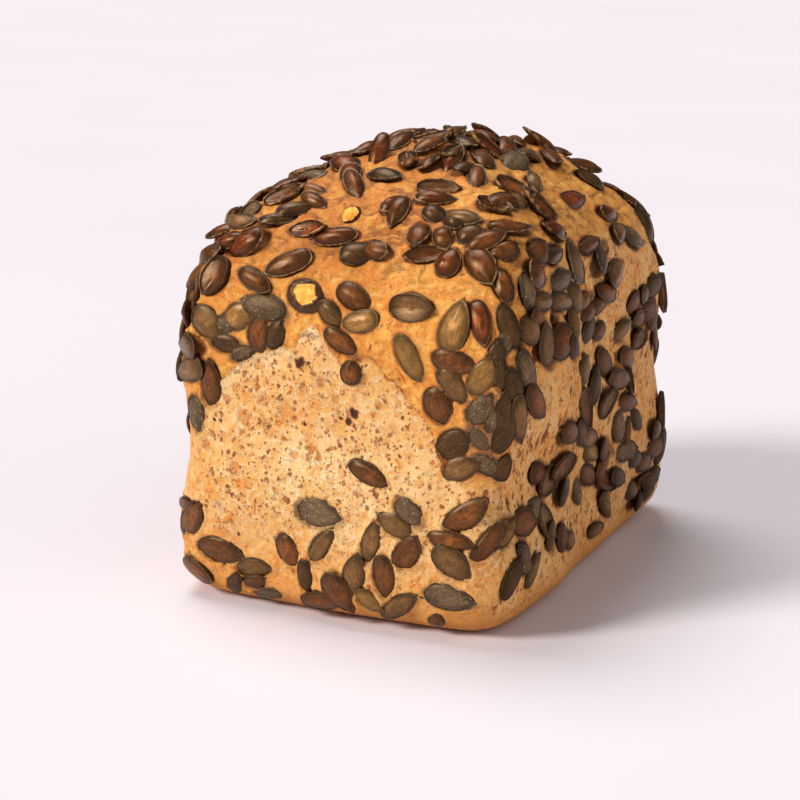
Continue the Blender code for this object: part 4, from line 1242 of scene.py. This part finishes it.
def seed_material(name, light, deep, glow, rim_colour, flake_share, roughness):
    """Roasted seed hull: streaked along its length, with a painted glow in its middle and darker round its
    edge, partly painted shade, with a dry rim and pale flakes.
    """
    m = Nodes(name)
    own = m.field("own", "Vector")
    rim, proud = m.field("rim"), m.field("proud")
    along = m.add("ShaderNodeMapping", Vector=own, Scale=(0.3, 1.9, 1.2)).outputs["Vector"]
    streaks = m.noise(along, 0.9, 6.0, 0.7, 0.5)
    mottling = m.noise(own, 0.45, 4.0, 0.6)
    # painted glow: a lighter orange in the middle of each seed, as of light through the hull
    painted_glow = m.times(m.remap(rim, 0.85, 0.1), m.remap(mottling, 0.42, 0.64))
    edge = m.times(m.remap(rim, 0.92, 0.945), m.remap(rim, 1.0, 0.98))
    broken = m.remap(m.noise(own, 0.6, 3.0), 0.44, 0.58)
    flakes = m.remap(m.noise(own, 1.3, 6.0, 0.75), 0.57, 0.65)
    dust = m.times(m.remap(m.noise(own, 4.5, 4.0, 0.7), 0.6, 0.68), m.part(proud, 0.9, 0.0, 0.5))
    base = m.layered(
        m.mix(m.remap(streaks, 0.3, 0.68, 0.1, 1.0), deep, light),
        (m.times(painted_glow, 0.7), glow),
        (m.part(m.field("shade"), 0.0, 1.0, 0.5), deep),
        (m.part(m.noise(own, 0.2, 3.0, 0.6), 0.45, 0.65, 0.6), deep),
        # darker towards the outline: partly the hull's own colour and partly painted shade where the seed
        # curves away
        (m.part(rim, 0.55, 0.93, 0.75), tuple(part * 0.5 for part in deep)),
        (m.times(m.times(edge, broken), m.remap(proud, 0.8, 1.0, 0.12, 0.6)), rim_colour),
        (m.times(flakes, flake_share), (206, 180, 140)),
        (dust, (214, 190, 152)),
    )
    rough = m.remap(mottling, 0.35, 0.7, roughness, roughness + 0.14)
    rough = m.maths("ADD", rough, m.part(m.field("gloss"), 0.9, 0.0, 0.38), clamp=True)
    bumps = ((streaks, 0.00012, 0.5), (m.noise(own, 2.6, 5.0, 0.65), 0.00006, 0.4))
    return m.finish(base, rough, bumps, Specular_IOR_Level=0.5, Specular_Tint=colour((255, 208, 158)))


def split_seed_material():
    """A burst seed: ragged dark hull round the cream kernel."""
    m = Nodes("split_seed")
    own, hull_share = m.field("own", "Vector"), m.field("rim")
    hull = m.mix(m.remap(m.noise(own, 1.2, 4.0), 0.35, 0.65), (32, 17, 10), (84, 48, 26))
    base = m.layered(
        m.mix(m.remap(m.noise(own, 0.8, 4.0), 0.4, 0.62), (238, 154, 42), (253, 198, 92)),
        (m.part(m.noise(own, 1.5, 4.0), 0.55, 0.68, 0.7), (188, 104, 30)),
        (m.remap(hull_share, 0.4, 0.6), hull),
    )
    bumps = [(m.noise(own, 1.6, 4.0), 0.0002, 0.4)]
    rough = m.remap(hull_share, 0.4, 0.6, 0.55, 0.3)
    return m.finish(base, rough, bumps, Specular_Tint=colour((255, 226, 190)))


def shred_material():
    """Baked carrot: dull orange with brown and pale spots."""
    m = Nodes("carrot")
    place = m.place()
    tone = m.noise(place, 300.0, 4.0)
    base = m.layered(
        m.mix(m.remap(tone, 0.35, 0.68), (200, 108, 34), (232, 148, 62)),
        (m.part(m.noise(place, 900.0, 4.0), 0.5, 0.68, 0.7), (168, 84, 22)),
        (m.part(m.noise(place, 500.0, 4.0), 0.52, 0.66, 0.7), (246, 192, 110)),
    )
    bumps = [(m.noise(place, 1100.0, 4.0), 0.0003, 0.7)]
    return m.finish(base, m.remap(tone, 0.3, 0.7, 0.5, 0.7), bumps)


# ---- the set


def make_floor():
    """A wide flat floor, just under the loaf."""
    form = bmesh.new()
    bmesh.ops.create_grid(form, x_segments=1, y_segments=1, size=FLOOR_SIZE * MM)
    mesh = bpy.data.meshes.new("floor")
    form.to_mesh(mesh)
    form.free()
    floor = add_object("floor", mesh)
    floor.location.z = -FLOOR_GAP * MM
    m = Nodes("pale_floor")
    tone = m.noise(m.place(), 3.0, 3.0)
    base = m.mix(tone, (226, 220, 229), (231, 225, 233))
    bumps = [(m.noise(m.place(), 400.0, 3.0), 0.0002, 0.1)]
    mesh.materials.append(m.finish(base, m.remap(tone, 0.3, 0.7, 0.7, 0.8), bumps))


def make_lights():
    """Soft daylight from the left and the front, a high fill light and a dim room all round."""
    for name, towards_light, strength, spread, tint in SUNS:
        data = bpy.data.lights.new(name, "SUN")
        data.energy = strength
        data.angle = math.radians(spread)
        data.color = tint
        light = add_object(name, data)
        light.rotation_mode = "QUATERNION"
        light.rotation_quaternion = Vector(towards_light).to_track_quat("Z", "Y")
    world = bpy.data.worlds.new("pale_room")
    world.use_nodes = True
    background = world.node_tree.nodes["Background"]
    background.inputs["Color"].default_value = (1.0, 0.96, 0.93, 1)
    background.inputs["Strength"].default_value = 0.15
    bpy.context.scene.world = world


def make_camera():
    """The photograph's view, from the constants that were fitted to the loaf's outline."""
    data = bpy.data.cameras.new("camera")
    data.lens = CAMERA_LENS
    data.sensor_width = CAMERA_SENSOR
    data.clip_start = 0.01
    camera = add_object("camera", data)
    azimuth, elevation = math.radians(CAMERA_AZIMUTH), math.radians(CAMERA_ELEVATION)
    level = math.cos(elevation)
    back = Vector((math.sin(azimuth) * level, -math.cos(azimuth) * level, math.sin(elevation)))
    camera.location = (Vector(CAMERA_TARGET) + back * CAMERA_DISTANCE) * MM
    camera.rotation_mode = "QUATERNION"
    roll = Matrix.Rotation(math.radians(CAMERA_ROLL), 4, "Z").to_quaternion()
    camera.rotation_quaternion = (-back).to_track_quat("-Z", "Y") @ roll
    bpy.context.scene.camera = camera


def main():
    """Makes all pieces, ties each to the part, and sets the stage."""
    bpy.context.scene.view_settings.view_transform = "Standard"
    seeds = all_seeds()
    pieces = [(make_crust(seeds), crust_material(), "crust")]
    rng = random.Random(8)
    for tone, name in KINDS.items():
        mine = [seed for seed in seeds if seed["tone"] == tone]
        if tone == "c":
            piece = join_seeds(name, mine, [split_seed(seed) for seed in mine], split_seed_faces())
            pieces.append((piece, split_seed_material(), "seeds"))
        else:
            piece = join_seeds(name, mine, [whole_seed(seed, rng) for seed in mine], whole_seed_faces())
            pieces.append((piece, seed_material(name, *SEED_LOOKS[tone]), "seeds"))
    pieces.append((make_shreds(), shred_material(), "crust"))
    for piece, material, slot in pieces:
        piece.data.materials.append(material)
        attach(piece, "root")
        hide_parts("loaf")
    make_floor()
    make_lights()
    make_camera()


main()
